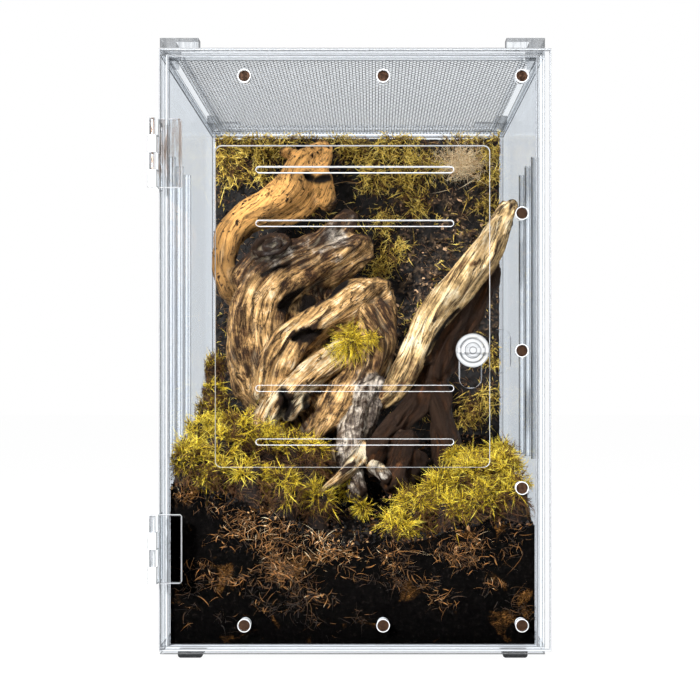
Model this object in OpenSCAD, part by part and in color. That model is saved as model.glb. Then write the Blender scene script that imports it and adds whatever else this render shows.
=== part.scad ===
// Reptile terrarium: a tall clear case with a hinged magnetic front door, a turning latch,
// a lift-off mesh lid that another case can stand on, and a planted inside.
// Lengths are in millimetres. Z is up and the front looks along -Y.

/* [Case] */
// Outside width of the case
body_w = 200; // [180:1:240]
// Outside depth of the case
body_d = 200; // [190:1:240]
// Height of the walls' top edge above the underside of the base panel
body_h = 311; // [306:1:360]
// Thickness of the clear panels
sheet = 4; // [3:0.5:5]

/* [Front frame] */
// Width of the opening behind the door
opening_w = 143; // [120:1:150]
// Height of the opening behind the door
opening_h = 167.5; // [150:0.5:180]
// Height of the opening's lower edge above the underside of the base panel
sill_h = 97; // [88:1:110]
// Corner radius of the opening
opening_r = 3.3; // [2:0.1:8]

/* [Side vents] */
// Number of vent slots in each side wall
side_slots = 3; // [1:1:5]
// Width of every vent slot
slot_w = 3; // [2:0.5:4]
// Length of a side wall's vent slot
side_slot_l = 163; // [80:1:180]
// Height of the side slots' lower ends above the underside of the base panel
side_slot_h = 100; // [80:1:120]
// Distance of the first side slot from the front
side_slot_from_front = 24; // [15:1:30]
// Distance from one side slot to the next
side_slot_pitch = 27; // [10:1:35]

/* [Door] */
// Running gap between the door and the case
door_gap = 0.3; // [0.2:0.05:0.6]
// Height of the door
door_h = 311; // [290:1:316]
// Height of the door's lower edge above the underside of the base panel
door_low = 2.5; // [0.5:0.5:6]
// How far the door reaches past the right wall, to pull it by
door_pull = 2.6; // [0:0.1:8]
// Length of a door vent slot
door_slot_l = 102; // [60:1:120]
// Height of the highest door slot above the underside of the base panel
door_slot_top = 251; // [220:1:260]
// Distance between the two slots of a pair
door_slot_pitch = 27.7; // [10:0.1:40]
// Distance from the first pair of door slots to the second
door_pair_pitch = 112.9; // [70:0.1:120]

/* [Magnets] */
// Diameter of a closing magnet
magnet_d = 6; // [4:0.5:8]
// Thickness of a closing magnet
magnet_t = 2.5; // [1:0.1:2.8]
// Slack round a magnet in its pocket
magnet_slack = 0.05; // [0.03:0.01:0.1]
// Distance of the outer magnet column from the case's right side
magnet_side = 12.4; // [9:0.1:16]
// Distance from one magnet column to the next
magnet_pitch = 71.7; // [40:0.1:75]
// Height of the lowest magnets above the underside of the base panel
magnet_low = 15.7; // [12:0.1:30]
// Distance of the highest magnets below the walls' top edge
magnet_high = 11.6; // [8:0.1:20]

/* [Latch] */
// Diameter of the latch knob
knob_d = 17.4; // [12:0.1:24]
// Thickness of the latch knob with its grip bar
knob_t = 6; // [4:0.1:9]
// Width of the knob's grip bar
grip_w = 2.4; // [1.5:0.1:4]
// Distance of the latch axis from the opening's right edge
latch_from_edge = 9.7; // [8:0.1:14]
// Width of the latch tab
tab_w = 12; // [8:0.5:13]
// Reach of the latch tab from its axis
tab_reach = 19.5; // [15:0.5:24]
// Thickness of the latch tab
tab_t = 3; // [2:0.5:4]
// Diameter of the latch spindle
spindle_d = 6; // [4:0.5:8]
// Diameter of the bush that spaces the tab from the door
bush_d = 9.5; // [8.8:0.1:12]
// Diameter of the latch screw
latch_screw_d = 3; // [2:0.5:3.5]
// Running clearance on the radius of the spindle, the bush and the hinge pins
run = 0.05; // [0.02:0.01:0.09]
// Gap between latch faces that slide past each other
slide_gap = 0.3; // [0.1:0.05:0.5]
// Width of the strike plate
strike_w = 11.4; // [8:0.1:14]
// Length of the strike plate
strike_l = 23.4; // [18:0.1:30]
// Thickness of the strike plate
strike_t = 1; // [0.5:0.1:2]

/* [Hinges] */
// Height of a hinge
hinge_h = 35.5; // [24:0.5:50]
// Number of knuckles in a hinge
knuckles = 4; // [2:2:8]
// Gap between two knuckles
knuckle_gap = 0.3; // [0.1:0.05:0.6]
// Outer diameter of the hinge barrel
barrel_d = 5.6; // [4.6:0.1:6.2]
// Diameter of the hinge pin
pin_d = 2.4; // [1.5:0.1:3]
// Distance of the hinge axis from the case's side and from the door's face
hinge_out = 2.4; // [2.2:0.1:3]
// Thickness of a hinge leaf
leaf_t = 2; // [1:0.1:2.1]
// Distance that a leaf covers from the case's corner
leaf_w = 12.3; // [8:0.1:20]
// Corner radius of a leaf
leaf_r = 1.5; // [0.5:0.1:3]
// Height of the lower hinge's middle above the underside of the base panel
hinge_low = 55.4; // [30:0.1:90]
// Height of the upper hinge's middle above the underside of the base panel
hinge_high = 259.1; // [200:0.1:280]

/* [Lid] */
// Thickness of the lid panel
lid_t = 4; // [3:0.5:5]
// Margin of the lid window at the sides and the front
lid_margin = 10; // [8:0.5:20]
// Margin of the lid window at the back
lid_margin_back = 20; // [10:0.5:30]
// Width of the mesh that is glued to the lid all round its window
mesh_border = 2.5; // [1:0.1:2.8]
// Thickness of the mesh
mesh_t = 0.8; // [0.4:0.1:1.5]
// Number of gaps along each side of the mesh
mesh_gaps = 17; // [5:1:17]
// Width of a bar of the mesh
mesh_bar = 1.2; // [0.8:0.1:2]
// Length of a locating block under the lid
locator_l = 12; // [6:0.5:20]
// Thickness of a locating block
locator_w = 3; // [2:0.1:4]
// Height of a locating block
locator_h = 3; // [2:0.1:4]
// Play between a locating block and the walls
locator_play = 0.4; // [0.3:0.05:0.8]
// Length of a stacking corner along the lid's front
corner_w = 20; // [14:0.5:30]
// Length of a stacking corner along the lid's side
corner_d = 25; // [14:0.5:35]
// Width of a stacking corner's arms
corner_arm = 7.2; // [4:0.1:8]
// Height of a stacking corner
corner_h = 5.1; // [3:0.1:8]

/* [Feet] */
// Width of a foot
foot_w = 13; // [8:0.5:20]
// Length of a foot
foot_l = 17; // [10:0.5:25]
// Height of the feet
foot_h = 3.6; // [3:0.1:6]
// Rounding of a foot's lower edges
foot_r = 1.5; // [0.5:0.1:2.5]
// Play between a foot and the stacking corner that it stands in
foot_play = 0.8; // [0.4:0.1:2]

/* [Planting] */
// Depth of the soil at its lowest place, above the underside of the base panel
soil_h = 58; // [50:1:75]
// Extra depth of the soil against the left wall
soil_left = 28; // [10:1:35]
// Extra depth of the soil against the right wall
soil_right = 10; // [0:1:20]
// Rise of the soil towards the back
soil_rise = 40; // [10:1:50]
// Thickness of the backdrop panel at its thinnest
backdrop_t = 7; // [4:0.5:12]
// Depth of the bark relief on the backdrop
backdrop_relief = 5; // [2:0.5:8]
// Play between the planting and the panels
plant_gap = 0.2; // [0.1:0.05:0.5]

/* [Hidden] */
$fn = 48;

// A little more than nothing, for a cutter that runs past a face
over = 1;

// Derived sizes of the case
inner_w = body_w - 2 * sheet;
wall_h = body_h - sheet;

// Depths are counted from the case's front face, negative towards the viewer
door_back = -door_gap;
door_face = door_back - sheet;
knob_back = door_face - slide_gap;
knob_front = knob_back - knob_t;
axis_depth = door_face - hinge_out;
axis_x = -body_w / 2 - hinge_out;
tab_depth = sheet + strike_t + slide_gap;

// The part's origin is under the middle of its outline
front_reach = max(-knob_front, barrel_d / 2 - axis_depth);
mid_x = (door_pull - hinge_out - barrel_d / 2) / 2;
mid_y = -front_reach / 2;

// Magnet columns and rows, as seen from the front
magnet_x = body_w / 2 - magnet_side;
magnet_row = (body_h - magnet_high - magnet_low) / 4;
magnet_places = [
    for (row = [0, 4], column = [0:2]) [magnet_x - column * magnet_pitch, magnet_low + row * magnet_row],
    for (row = [1:3]) [magnet_x, magnet_low + row * magnet_row],
];

// Latch axis, level with the middle magnet
latch_x = opening_w / 2 - latch_from_edge;
latch_h = magnet_low + 2 * magnet_row;
knob_step = 0.6 * knob_t;
screw_head_d = 1.9 * latch_screw_d;
screw_head_t = 0.6 * latch_screw_d;
screw_hole = 6;

// Hinge knuckles
knuckle_pitch = hinge_h / knuckles;
knuckle_h = knuckle_pitch - knuckle_gap;
leaf_start = barrel_d / 2 + 0.5;

// Planting space
plant_back = body_d - sheet - plant_gap;
backdrop_w = inner_w - 2 * plant_gap;
backdrop_front = plant_back - backdrop_t - backdrop_relief;
backdrop_top = body_h - locator_h - 1;
plant_front = sheet + plant_gap;
latch_room = tab_depth + tab_t + screw_head_t + 2;

// Places a child by its distance from the case's middle, from its front face and from the
// underside of the base panel
module at(x, depth, height)
    translate([x - mid_x, depth - body_d / 2 - mid_y, foot_h + height]) children();

// A slot's outline along X, with round ends
module obround(length, width) {
    square([length - width, width], center = true);
    for (side = [-1, 1]) translate([side * (length - width) / 2, 0]) circle(d = width);
}

// A rectangle from the origin with four round corners
module rounded(width, height, r) {
    translate([r, 0]) square([width - 2 * r, height]);
    translate([0, r]) square([width, height - 2 * r]);
    for (x = [r, width - r], y = [r, height - r]) translate([x, y]) circle(r = r);
}

// Stands a flat outline up, X to the right and Y up, with its thickness running backwards
module upright(t) translate([0, t, 0]) rotate([90, 0, 0]) linear_extrude(t) children();

// A round pin or bore that runs backwards from its place
module rod(d, length) rotate([-90, 0, 0]) cylinder(d = d, h = length);

// Repeats a child at the four corners of a rectangle, mirrored to face its middle
module corners(width, depth)
    for (x = [0, 1], y = [0, 1])
        at(0, body_d / 2, 0)
            mirror([x, 0, 0]) mirror([0, y, 0])
                translate([-width / 2, -depth / 2, 0]) children();

// ---- Case ----

module base_panel()
    color([0.86, 0.9, 0.93, 0.35])
        at(-body_w / 2, 0, 0) cube([body_w, body_d, sheet]);

module side_wall()
    difference() {
        cube([sheet, body_d, wall_h]);
        for (i = [0 : side_slots - 1])
            translate([-over, side_slot_from_front + i * side_slot_pitch,
                       side_slot_h - sheet + side_slot_l / 2])
                rotate([0, 90, 0]) linear_extrude(sheet + 2 * over) obround(side_slot_l, slot_w);
    }

module left_wall()
    color([0.86, 0.9, 0.93, 0.35]) at(-body_w / 2, 0, sheet) side_wall();

module right_wall()
    color([0.86, 0.9, 0.93, 0.35]) at(body_w / 2 - sheet, 0, sheet) side_wall();

module back_wall()
    color([0.86, 0.9, 0.93, 0.35])
        at(-inner_w / 2, body_d - sheet, sheet) cube([inner_w, sheet, wall_h]);

module front_frame()
    color([0.86, 0.9, 0.93, 0.35])
        difference() {
            at(0, 0, sheet)
                upright(sheet)
                    difference() {
                        translate([-inner_w / 2, 0]) square([inner_w, wall_h]);
                        translate([-opening_w / 2, sill_h - sheet])
                            rounded(opening_w, opening_h, opening_r);
                    }
            for (p = magnet_places)
                at(p[0], -over, p[1]) rod(magnet_d + 2 * magnet_slack, magnet_t + over);
        }

module frame_magnets()
    color([0.36, 0.23, 0.14])
        for (p = magnet_places) at(p[0], 0, p[1]) rod(magnet_d, magnet_t);

module strike_plate()
    color([0.8, 0.84, 0.88, 0.5])
        at(opening_w / 2 + strike_w / 2, sheet, latch_h)
            upright(strike_t) rotate([0, 0, 90]) obround(strike_l, strike_w);

module foot()
    translate([0, foot_l, 0])
        rotate([90, 0, 0])
            linear_extrude(foot_l) {
                translate([0, foot_r]) square([foot_w, foot_h - foot_r]);
                translate([foot_r, 0]) square([foot_w - 2 * foot_r, foot_h]);
                for (x = [foot_r, foot_w - foot_r]) translate([x, foot_r]) circle(r = foot_r);
            }

module feet()
    color([0.35, 0.3, 0.27])
        corners(body_w - 2 * (corner_arm + foot_play), body_d - 2 * (corner_arm + foot_play))
            translate([0, 0, -foot_h]) foot();

// ---- Hinges ----

// A leaf with every second knuckle, lying along +X on the face y = hinge_out, with the hinge
// axis on Z and its lower end at the origin. first is 0 or 1, the lowest knuckle it has.
module hinge_leaf(first)
    difference() {
        union() {
            translate([leaf_start, hinge_out, 0])
                rotate([90, 0, 0])
                    linear_extrude(leaf_t)
                        intersection() {
                            square([leaf_w + hinge_out - leaf_start, hinge_h]);
                            translate([-leaf_r, 0])
                                rounded(leaf_w + hinge_out - leaf_start + leaf_r, hinge_h, leaf_r);
                        }
            for (i = [first : 2 : knuckles - 1])
                translate([0, 0, i * knuckle_pitch + knuckle_gap / 2]) {
                    cylinder(d = barrel_d, h = knuckle_h);
                    translate([0, hinge_out - leaf_t, 0]) cube([leaf_start + over, leaf_t, knuckle_h]);
                }
        }
        translate([0, 0, -over]) cylinder(d = pin_d + 2 * run, h = hinge_h + 2 * over);
    }

module door_leaf(height)
    color([0.82, 0.85, 0.88, 0.6]) at(axis_x, axis_depth, height - hinge_h / 2) hinge_leaf(1);

// The side leaf is the door leaf mirrored about the corner's diagonal
module side_leaf(height)
    color([0.82, 0.85, 0.88, 0.6])
        at(axis_x, axis_depth, height - hinge_h / 2) mirror([1, -1, 0]) hinge_leaf(0);

module hinge_pin(height)
    color([0.9, 0.9, 0.9]) at(axis_x, axis_depth, height - hinge_h / 2) cylinder(d = pin_d, h = hinge_h);

module upper_hinge_side_leaf() side_leaf(hinge_high);
module lower_hinge_side_leaf() side_leaf(hinge_low);
module upper_hinge_door_leaf() door_leaf(hinge_high);
module lower_hinge_door_leaf() door_leaf(hinge_low);
module upper_hinge_pin() hinge_pin(hinge_high);
module lower_hinge_pin() hinge_pin(hinge_low);

// ---- Door ----

module door_panel()
    color([0.86, 0.9, 0.93, 0.35])
        difference() {
            at(0, door_face, door_low)
                upright(sheet)
                    difference() {
                        translate([door_gap - body_w / 2, 0])
                            square([body_w - door_gap + door_pull, door_h]);
                        for (pair = [0, 1], i = [0, 1])
                            translate([door_pull / 2, door_slot_top - door_low
                                       - pair * door_pair_pitch - i * door_slot_pitch])
                                obround(door_slot_l, slot_w);
                    }
            for (p = magnet_places)
                at(p[0], door_back - magnet_t, p[1])
                    rod(magnet_d + 2 * magnet_slack, magnet_t + over);
            at(latch_x, door_face - over, latch_h) rod(spindle_d + 2 * run, sheet + 2 * over);
        }

module door_magnets()
    color([0.36, 0.23, 0.14])
        for (p = magnet_places) at(p[0], door_back - magnet_t, p[1]) rod(magnet_d, magnet_t);

// ---- Latch, shown released with its tab hanging down ----

// A stepped disc with a ring groove and a grip bar across it
module latch_knob()
    color([0.92, 0.94, 0.96, 0.7])
        at(latch_x, knob_back, latch_h)
            rotate([90, 0, 0]) {
                difference() {
                    cylinder(d = knob_d, h = knob_step);
                    translate([0, 0, knob_step - 1])
                        difference() {
                            cylinder(d = 0.8 * knob_d, h = 1 + over);
                            translate([0, 0, -over]) cylinder(d = 0.66 * knob_d, h = 2 + 2 * over);
                        }
                }
                translate([0, 0, knob_step]) cylinder(d = 0.36 * knob_d, h = (knob_t - knob_step) / 2);
                translate([-0.46 * knob_d, -grip_w / 2, knob_step - 1])
                    cube([0.92 * knob_d, grip_w, knob_t - knob_step + 1]);
            }

module latch_spindle()
    color([0.85, 0.87, 0.9])
        at(latch_x, knob_back, latch_h)
            difference() {
                rod(spindle_d, tab_depth - knob_back);
                translate([0, tab_depth - knob_back - screw_hole, 0])
                    rod(latch_screw_d + 2 * run, screw_hole + over);
            }

module latch_bush()
    color([0.9, 0.9, 0.88])
        at(latch_x, door_back + slide_gap, latch_h)
            difference() {
                rod(bush_d, tab_depth - door_back - slide_gap);
                translate([0, -over, 0]) rod(spindle_d + 2 * run, tab_depth - door_back + 2 * over);
            }

module latch_tab()
    color([0.86, 0.9, 0.93, 0.5])
        at(latch_x, tab_depth, latch_h)
            difference() {
                translate([0, 0, (tab_w / 2 - tab_reach) / 2])
                    upright(tab_t) rotate([0, 0, 90]) obround(tab_reach + tab_w / 2, tab_w);
                translate([0, -over, 0]) rod(latch_screw_d + 2 * run, tab_t + 2 * over);
            }

module latch_screw()
    color([0.75, 0.76, 0.78])
        at(latch_x, tab_depth, latch_h) {
            translate([0, 0.5 - screw_hole, 0]) rod(latch_screw_d, tab_t + screw_hole - 0.5);
            translate([0, tab_t, 0]) rod(screw_head_d, screw_head_t);
        }

// ---- Lid ----

module lid_panel()
    color([0.86, 0.9, 0.93, 0.35])
        at(-body_w / 2, 0, body_h)
            linear_extrude(lid_t)
                difference() {
                    square([body_w, body_d]);
                    translate([lid_margin, lid_margin])
                        square([body_w - 2 * lid_margin, body_d - lid_margin - lid_margin_back]);
                }

module lid_mesh() {
    width = body_w - 2 * lid_margin + 2 * mesh_border;
    depth = body_d - lid_margin - lid_margin_back + 2 * mesh_border;
    pitch_x = (width - 2 * mesh_border) / mesh_gaps;
    pitch_y = (depth - 2 * mesh_border) / mesh_gaps;
    color([0.75, 0.77, 0.78])
        at(-width / 2, lid_margin - mesh_border, body_h - mesh_t)
            linear_extrude(mesh_t)
                difference() {
                    square([width, depth]);
                    for (i = [0 : mesh_gaps - 1], j = [0 : mesh_gaps - 1])
                        translate([mesh_border + i * pitch_x + mesh_bar / 2,
                                   mesh_border + j * pitch_y + mesh_bar / 2])
                            square([pitch_x - mesh_bar, pitch_y - mesh_bar]);
                }
}

module stacking_corners()
    color([0.84, 0.88, 0.92, 0.5])
        corners(body_w, body_d)
            translate([0, 0, body_h + lid_t])
                linear_extrude(corner_h) {
                    square([corner_w, corner_arm]);
                    square([corner_arm, corner_d]);
                }

module lid_locators()
    color([0.84, 0.88, 0.92, 0.5])
        corners(inner_w - 2 * locator_play, body_d - 2 * (sheet + locator_play))
            translate([0, 0, body_h - locator_h]) cube([locator_w, locator_l, locator_h]);

// ---- Planting ----

function smooth(t) = let (u = min(1, max(0, t))) u * u * (3 - 2 * u);

// Height of the soil above the underside of the base panel
function soil_at(x, depth) =
    soil_h
    + soil_left * smooth((-x / (inner_w / 2) - 0.05) / 0.85)
    + soil_right * smooth((x / (inner_w / 2) - 0.1) / 0.8)
    + soil_rise * (depth - plant_front) / (backdrop_front - plant_front)
    + 1.5 * sin(7 * x) * sin(6 * depth);

// Depth of the backdrop's bark face behind the case's front
function bark_at(x, height) =
    plant_back - backdrop_t
    - backdrop_relief * (0.5 + 0.25 * sin(5 * x + 40 * sin(2 * height)) + 0.25 * sin(4 * height + 3 * x));

// A block whose face is a field of points: columns by rows, with the flat side behind it.
// front and back are lists of points, row by row, seen from outside with Y up.
module field_block(front, back, columns, rows) {
    count = columns * rows;
    function f(i, j) = j * columns + i;
    faces = concat(
        [for (j = [0 : rows - 2], i = [0 : columns - 2], half = [0, 1])
            half == 0 ? [f(i, j), f(i + 1, j + 1), f(i + 1, j)] : [f(i, j), f(i, j + 1), f(i + 1, j + 1)]],
        [for (j = [0 : rows - 2], i = [0 : columns - 2], half = [0, 1])
            half == 0 ? [count + f(i, j), count + f(i + 1, j), count + f(i + 1, j + 1)]
                      : [count + f(i, j), count + f(i + 1, j + 1), count + f(i, j + 1)]],
        [for (i = [0 : columns - 2], half = [0, 1])
            half == 0 ? [f(i, 0), f(i + 1, 0), count + f(i, 0)]
                      : [f(i + 1, 0), count + f(i + 1, 0), count + f(i, 0)]],
        [for (i = [0 : columns - 2], half = [0, 1])
            half == 0 ? [f(i, rows - 1), count + f(i, rows - 1), f(i + 1, rows - 1)]
                      : [f(i + 1, rows - 1), count + f(i, rows - 1), count + f(i + 1, rows - 1)]],
        [for (j = [0 : rows - 2], half = [0, 1])
            half == 0 ? [f(0, j), count + f(0, j), f(0, j + 1)]
                      : [f(0, j + 1), count + f(0, j), count + f(0, j + 1)]],
        [for (j = [0 : rows - 2], half = [0, 1])
            half == 0 ? [f(columns - 1, j), f(columns - 1, j + 1), count + f(columns - 1, j)]
                      : [f(columns - 1, j + 1), count + f(columns - 1, j + 1), count + f(columns - 1, j)]]
    );
    polyhedron(points = concat(front, back), faces = faces);
}

// The soil's solid. more is 0 to draw it, or 1 for a cutter that reaches a step past every side
// with the same top.
module soil_block(more = 0) {
    columns = 17;
    rows = 13;
    step_x = (inner_w - 2 * plant_gap) / (columns - 1);
    step_d = (backdrop_front - plant_gap - plant_front) / (rows - 1);
    top = [for (j = [-more : rows - 1 + more], i = [-more : columns - 1 + more])
        let (x = plant_gap - inner_w / 2 + i * step_x, d = plant_front + j * step_d)
        [x, d, soil_at(x, d)]];
    at(0, 0, 0)
        field_block(top, [for (p = top) [p[0], p[1], sheet - more]], columns + 2 * more, rows + 2 * more);
}

// The backdrop's solid: a panel with bark relief. more is as for the soil.
module backdrop_block(more = 0) {
    columns = 15;
    rows = 22;
    step_x = backdrop_w / (columns - 1);
    step_h = (backdrop_top - sheet) / (rows - 1);
    face = [for (j = [-more : rows - 1 + more], i = [-more : columns - 1 + more])
        let (x = i * step_x - backdrop_w / 2, h = sheet + j * step_h) [x, bark_at(x, h), h]];
    at(0, 0, 0)
        field_block(face, [for (p = face) [p[0], plant_back + more, p[2]]],
                    columns + 2 * more, rows + 2 * more);
}

// The space that the planting may fill: low down up to the front frame, and higher up clear of
// the latch
module plant_room() {
    room_w = inner_w - 2 * plant_gap;
    at(-room_w / 2, plant_front, sheet) cube([room_w, plant_back - plant_front, sill_h + 25]);
    at(-room_w / 2, latch_room, sheet)
        cube([room_w, plant_back - latch_room, backdrop_top - sheet]);
}

// Smooth curve through a list of [x, depth, height, radius], steps points to each stretch
function blend_at(a, b, c, d, t) =
    0.5 * (2 * b + (c - a) * t + (2 * a - 5 * b + 4 * c - d) * t * t + (3 * b - a - 3 * c + d) * t * t * t);
function curve(points, steps) =
    let (last = len(points) - 1)
    [for (i = [0 : last - 1], s = [0 : steps - (i == last - 1 ? 0 : 1)])
        blend_at(points[max(0, i - 1)], points[i], points[i + 1], points[min(last, i + 2)], s / steps)];

// A gnarled limb along such a curve, ridged along its length and slowly turning
module limb(points, ridges = 3, sides = 12, steps = 2) {
    path = curve(points, steps);
    last = len(path) - 1;
    function way(i) =
        let (v = path[min(last, i + 1)] - path[max(0, i - 1)], w = [v[0], v[1], v[2]]) w / norm(w);
    rings = [for (i = [0 : last])
        let (t = way(i), u0 = cross(t, [0, 1, 0]), u = u0 / norm(u0), v = cross(t, u), r = path[i][3])
        [for (k = [0 : sides - 1])
            let (a = 360 * k / sides, wave = 1 + 0.13 * sin(ridges * a + 25 * i) + 0.06 * sin(5 * a - 40 * i))
            [path[i][0], path[i][1], path[i][2]] + r * wave * (cos(a) * u + sin(a) * v)]];
    points3 = concat([for (ring = rings) each ring],
                     [[path[0][0], path[0][1], path[0][2]] - 0.5 * path[0][3] * way(0),
                      [path[last][0], path[last][1], path[last][2]] + 0.5 * path[last][3] * way(last)]);
    tail = len(points3) - 2;
    faces = concat(
        [for (i = [0 : last - 1], k = [0 : sides - 1], half = [0, 1])
            let (a = i * sides + k, b = i * sides + (k + 1) % sides)
            half == 0 ? [a, a + sides, b] : [b, a + sides, b + sides]],
        [for (k = [0 : sides - 1]) [tail, k, (k + 1) % sides]],
        [for (k = [0 : sides - 1]) [tail + 1, last * sides + (k + 1) % sides, last * sides + k]]
    );
    at(0, 0, 0) polyhedron(points = points3, faces = faces);
}

// A knob, burl or broken stub between two places [x, depth, height, radius]
module burl(a, b)
    hull() {
        at(a[0], a[1], a[2]) sphere(r = a[3], $fn = 8);
        at(b[0], b[1], b[2]) sphere(r = b[3], $fn = 8);
    }

// Limbs of the trunk, each a list of [x, depth, height, radius]: its head, the crest under it, the
// main mass, the lobe at its right with the strands below, the roots, and the core behind them all
upper_limb = [
    [-22, 166, 299, 5.5], [-27, 163, 290, 10], [-35, 158, 277, 14.5], [-43, 153, 264, 15.5],
    [-57, 148, 254, 12], [-70, 144, 247, 9.5], [-79, 140, 237, 8.5], [-83, 136, 225, 7.5],
    [-83, 131, 213, 7], [-78, 126, 199, 8],
];
crest_limb = [
    [-5, 150, 248, 5], [-11, 147, 240, 7.5], [-21, 143, 232, 8.5], [-34, 138, 226, 8.5],
    [-46, 133, 223, 8], [-59, 129, 216, 8], [-69, 125, 205, 9.5],
];
main_limb = [
    [0, 142, 227, 9.5], [-9, 139, 222, 12], [-24, 135, 215, 12.5], [-40, 131, 207, 14.5],
    [-54, 127, 194, 17], [-61, 123, 180, 18], [-63, 119, 165, 16], [-61, 114, 150, 14],
    [-57, 110, 135, 11.5], [-51, 105, 120, 8.5], [-48, 100, 101, 8.5],
];
lobe_limb = [
    [13, 127, 198, 9], [4, 123, 193, 12], [-8, 118, 187, 12], [-21, 113, 180, 10.5],
    [-33, 109, 172, 10], [-42, 106, 163, 10.5], [-49, 103, 152, 10.5], [-54, 100, 137, 8.5],
];
strand_limb = [
    [-2, 108, 164, 6], [-12, 105, 157, 8], [-24, 102, 149, 8], [-36, 99, 140, 8], [-46, 96, 130, 7],
    [-53, 92, 118, 6.5], [-55, 88, 103, 6.5],
];
root_limb = [
    [9, 118, 183, 10], [14, 114, 169, 10], [11, 109, 156, 10], [4, 104, 144, 9.5], [-5, 99, 134, 10.5],
    [-14, 93, 124, 9.5], [-23, 87, 114, 6.5], [-30, 82, 104, 5], [-34, 76, 89, 5],
];
bark_root = [
    [10, 100, 139, 6.5], [5, 94, 128, 9], [0, 87, 115, 8.5], [-2, 79, 103, 7.5], [-2, 70, 92, 6],
    [1, 62, 79, 5.5],
];
claw_root = [
    [5, 74, 102, 4.5], [-1, 64, 94, 3.5], [-10, 54, 87, 3], [-17, 45, 81, 2.5], [-23, 38, 75, 2],
];
core_limb = [
    [-20, 152, 223, 10.5], [-30, 148, 206, 18], [-36, 144, 186, 23.5], [-36, 139, 164, 26.5],
    [-32, 132, 142, 24.5], [-25, 122, 124, 20.5], [-18, 110, 104, 16.5], [-13, 98, 81, 14.5],
];
// Burls and stubs of the trunk, each a pair of [x, depth, height, radius]
burls = [
    [[-25, 157, 272, 10], [-19, 154, 259, 6]], [[-39, 164, 291, 4.5], [-48, 166, 294, 3.5]],
    [[-59, 125, 225, 5.5], [-46, 125, 229, 5]], [[19, 124, 193, 5.5], [17, 120, 178, 7]],
    [[-17, 116, 190, 7], [-2, 117, 198, 6]], [[-69, 116, 162, 10], [-65, 110, 139, 8.5]],
    [[-33, 98, 131, 6], [-40, 96, 124, 5.5]], [[6, 100, 145, 5.5], [21, 97, 136, 4]],
    [[7, 72, 97, 4], [18, 62, 88, 3]],
];
// Hollows rotted into it
hollows = [
    [[-48, 110, 189, 2.5], [-32, 108, 192, 6]], [[-32, 108, 192, 6], [-13, 114, 201, 3]],
    [[-37, 96, 167, 2.5], [-24, 98, 173, 3.5]], [[-58, 142, 239, 3], [-72, 133, 218, 4.5]],
];

// The trunk as it grew, before it was set on the soil
module trunk_form()
    difference() {
        union() {
            limb(upper_limb);
            limb(crest_limb);
            limb(main_limb, 4, 14);
            limb(lobe_limb, 4);
            limb(strand_limb, 3, 10);
            limb(root_limb, 4);
            limb(bark_root, 4, 10);
            limb(claw_root, 3, 8);
            limb(core_limb, 4, 10);
            for (pair = burls) burl(pair[0], pair[1]);
        }
        for (pair = hollows) burl(pair[0], pair[1]);
    }

module driftwood_trunk()
    color([0.72, 0.55, 0.33])
        intersection() {
            plant_room();
            difference() {
                trunk_form();
                soil_block(1);
                backdrop_block(1);
            }
        }

// Limbs of the branch that leans to the right, each a list of [x, depth, height, radius]
pale_limb = [
    [87, 46, 238, 3.5], [82, 48, 231, 5.5], [76, 53, 219, 7.5], [66, 60, 205, 9], [54, 68, 190, 9],
    [44, 76, 176, 8.5], [37, 83, 162, 7.5], [30, 89, 149, 7], [23, 93, 138, 6], [17, 96, 131, 4],
];
dark_limb = [
    [79, 68, 208, 3.5], [73, 74, 194, 6.5], [64, 81, 180, 7.5], [56, 88, 168, 7.5], [50, 93, 155, 7],
    [45, 96, 143, 6.5], [38, 94, 130, 5.5], [29, 90, 120, 5], [19, 84, 111, 4.5], [11, 76, 101, 4],
];
leg_limb = [
    [47, 96, 142, 6], [51, 94, 129, 5.5], [53, 90, 113, 5.5], [54, 84, 98, 6], [53, 78, 80, 6.5],
];
// Splinters and root knots of the branch, each a pair of [x, depth, height, radius]
branch_knots = [
    [[86, 46, 238, 3.5], [89, 44, 241, 1.5]], [[82, 48, 237, 3], [83, 45, 242, 1]],
    [[59, 90, 163, 5], [52, 94, 141, 3]], [[50, 84, 173, 6], [43, 87, 159, 5.5]],
    [[15, 74, 104, 4.5], [11, 70, 94, 4.5]], [[29, 78, 105, 7.5], [25, 70, 86, 7.5]],
    [[25, 72, 91, 6], [36, 74, 97, 4.5]],
];

module branch_form() {
    limb(pale_limb);
    limb(dark_limb, 3, 10);
    limb(leg_limb, 3, 10);
    for (pair = branch_knots) burl(pair[0], pair[1]);
}

module driftwood_branch()
    color([0.86, 0.74, 0.52])
        intersection() {
            plant_room();
            difference() {
                branch_form();
                trunk_form();
                soil_block(1);
            }
        }

// A tuft of moss that reaches down into the soil under it
module mound(p, drop = 16)
    hull() {
        at(p[0], p[1], p[2]) sphere(r = p[3], $fn = 10);
        at(p[0], p[1], p[2] - drop) sphere(r = 1.1 * p[3], $fn = 10);
    }

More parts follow.
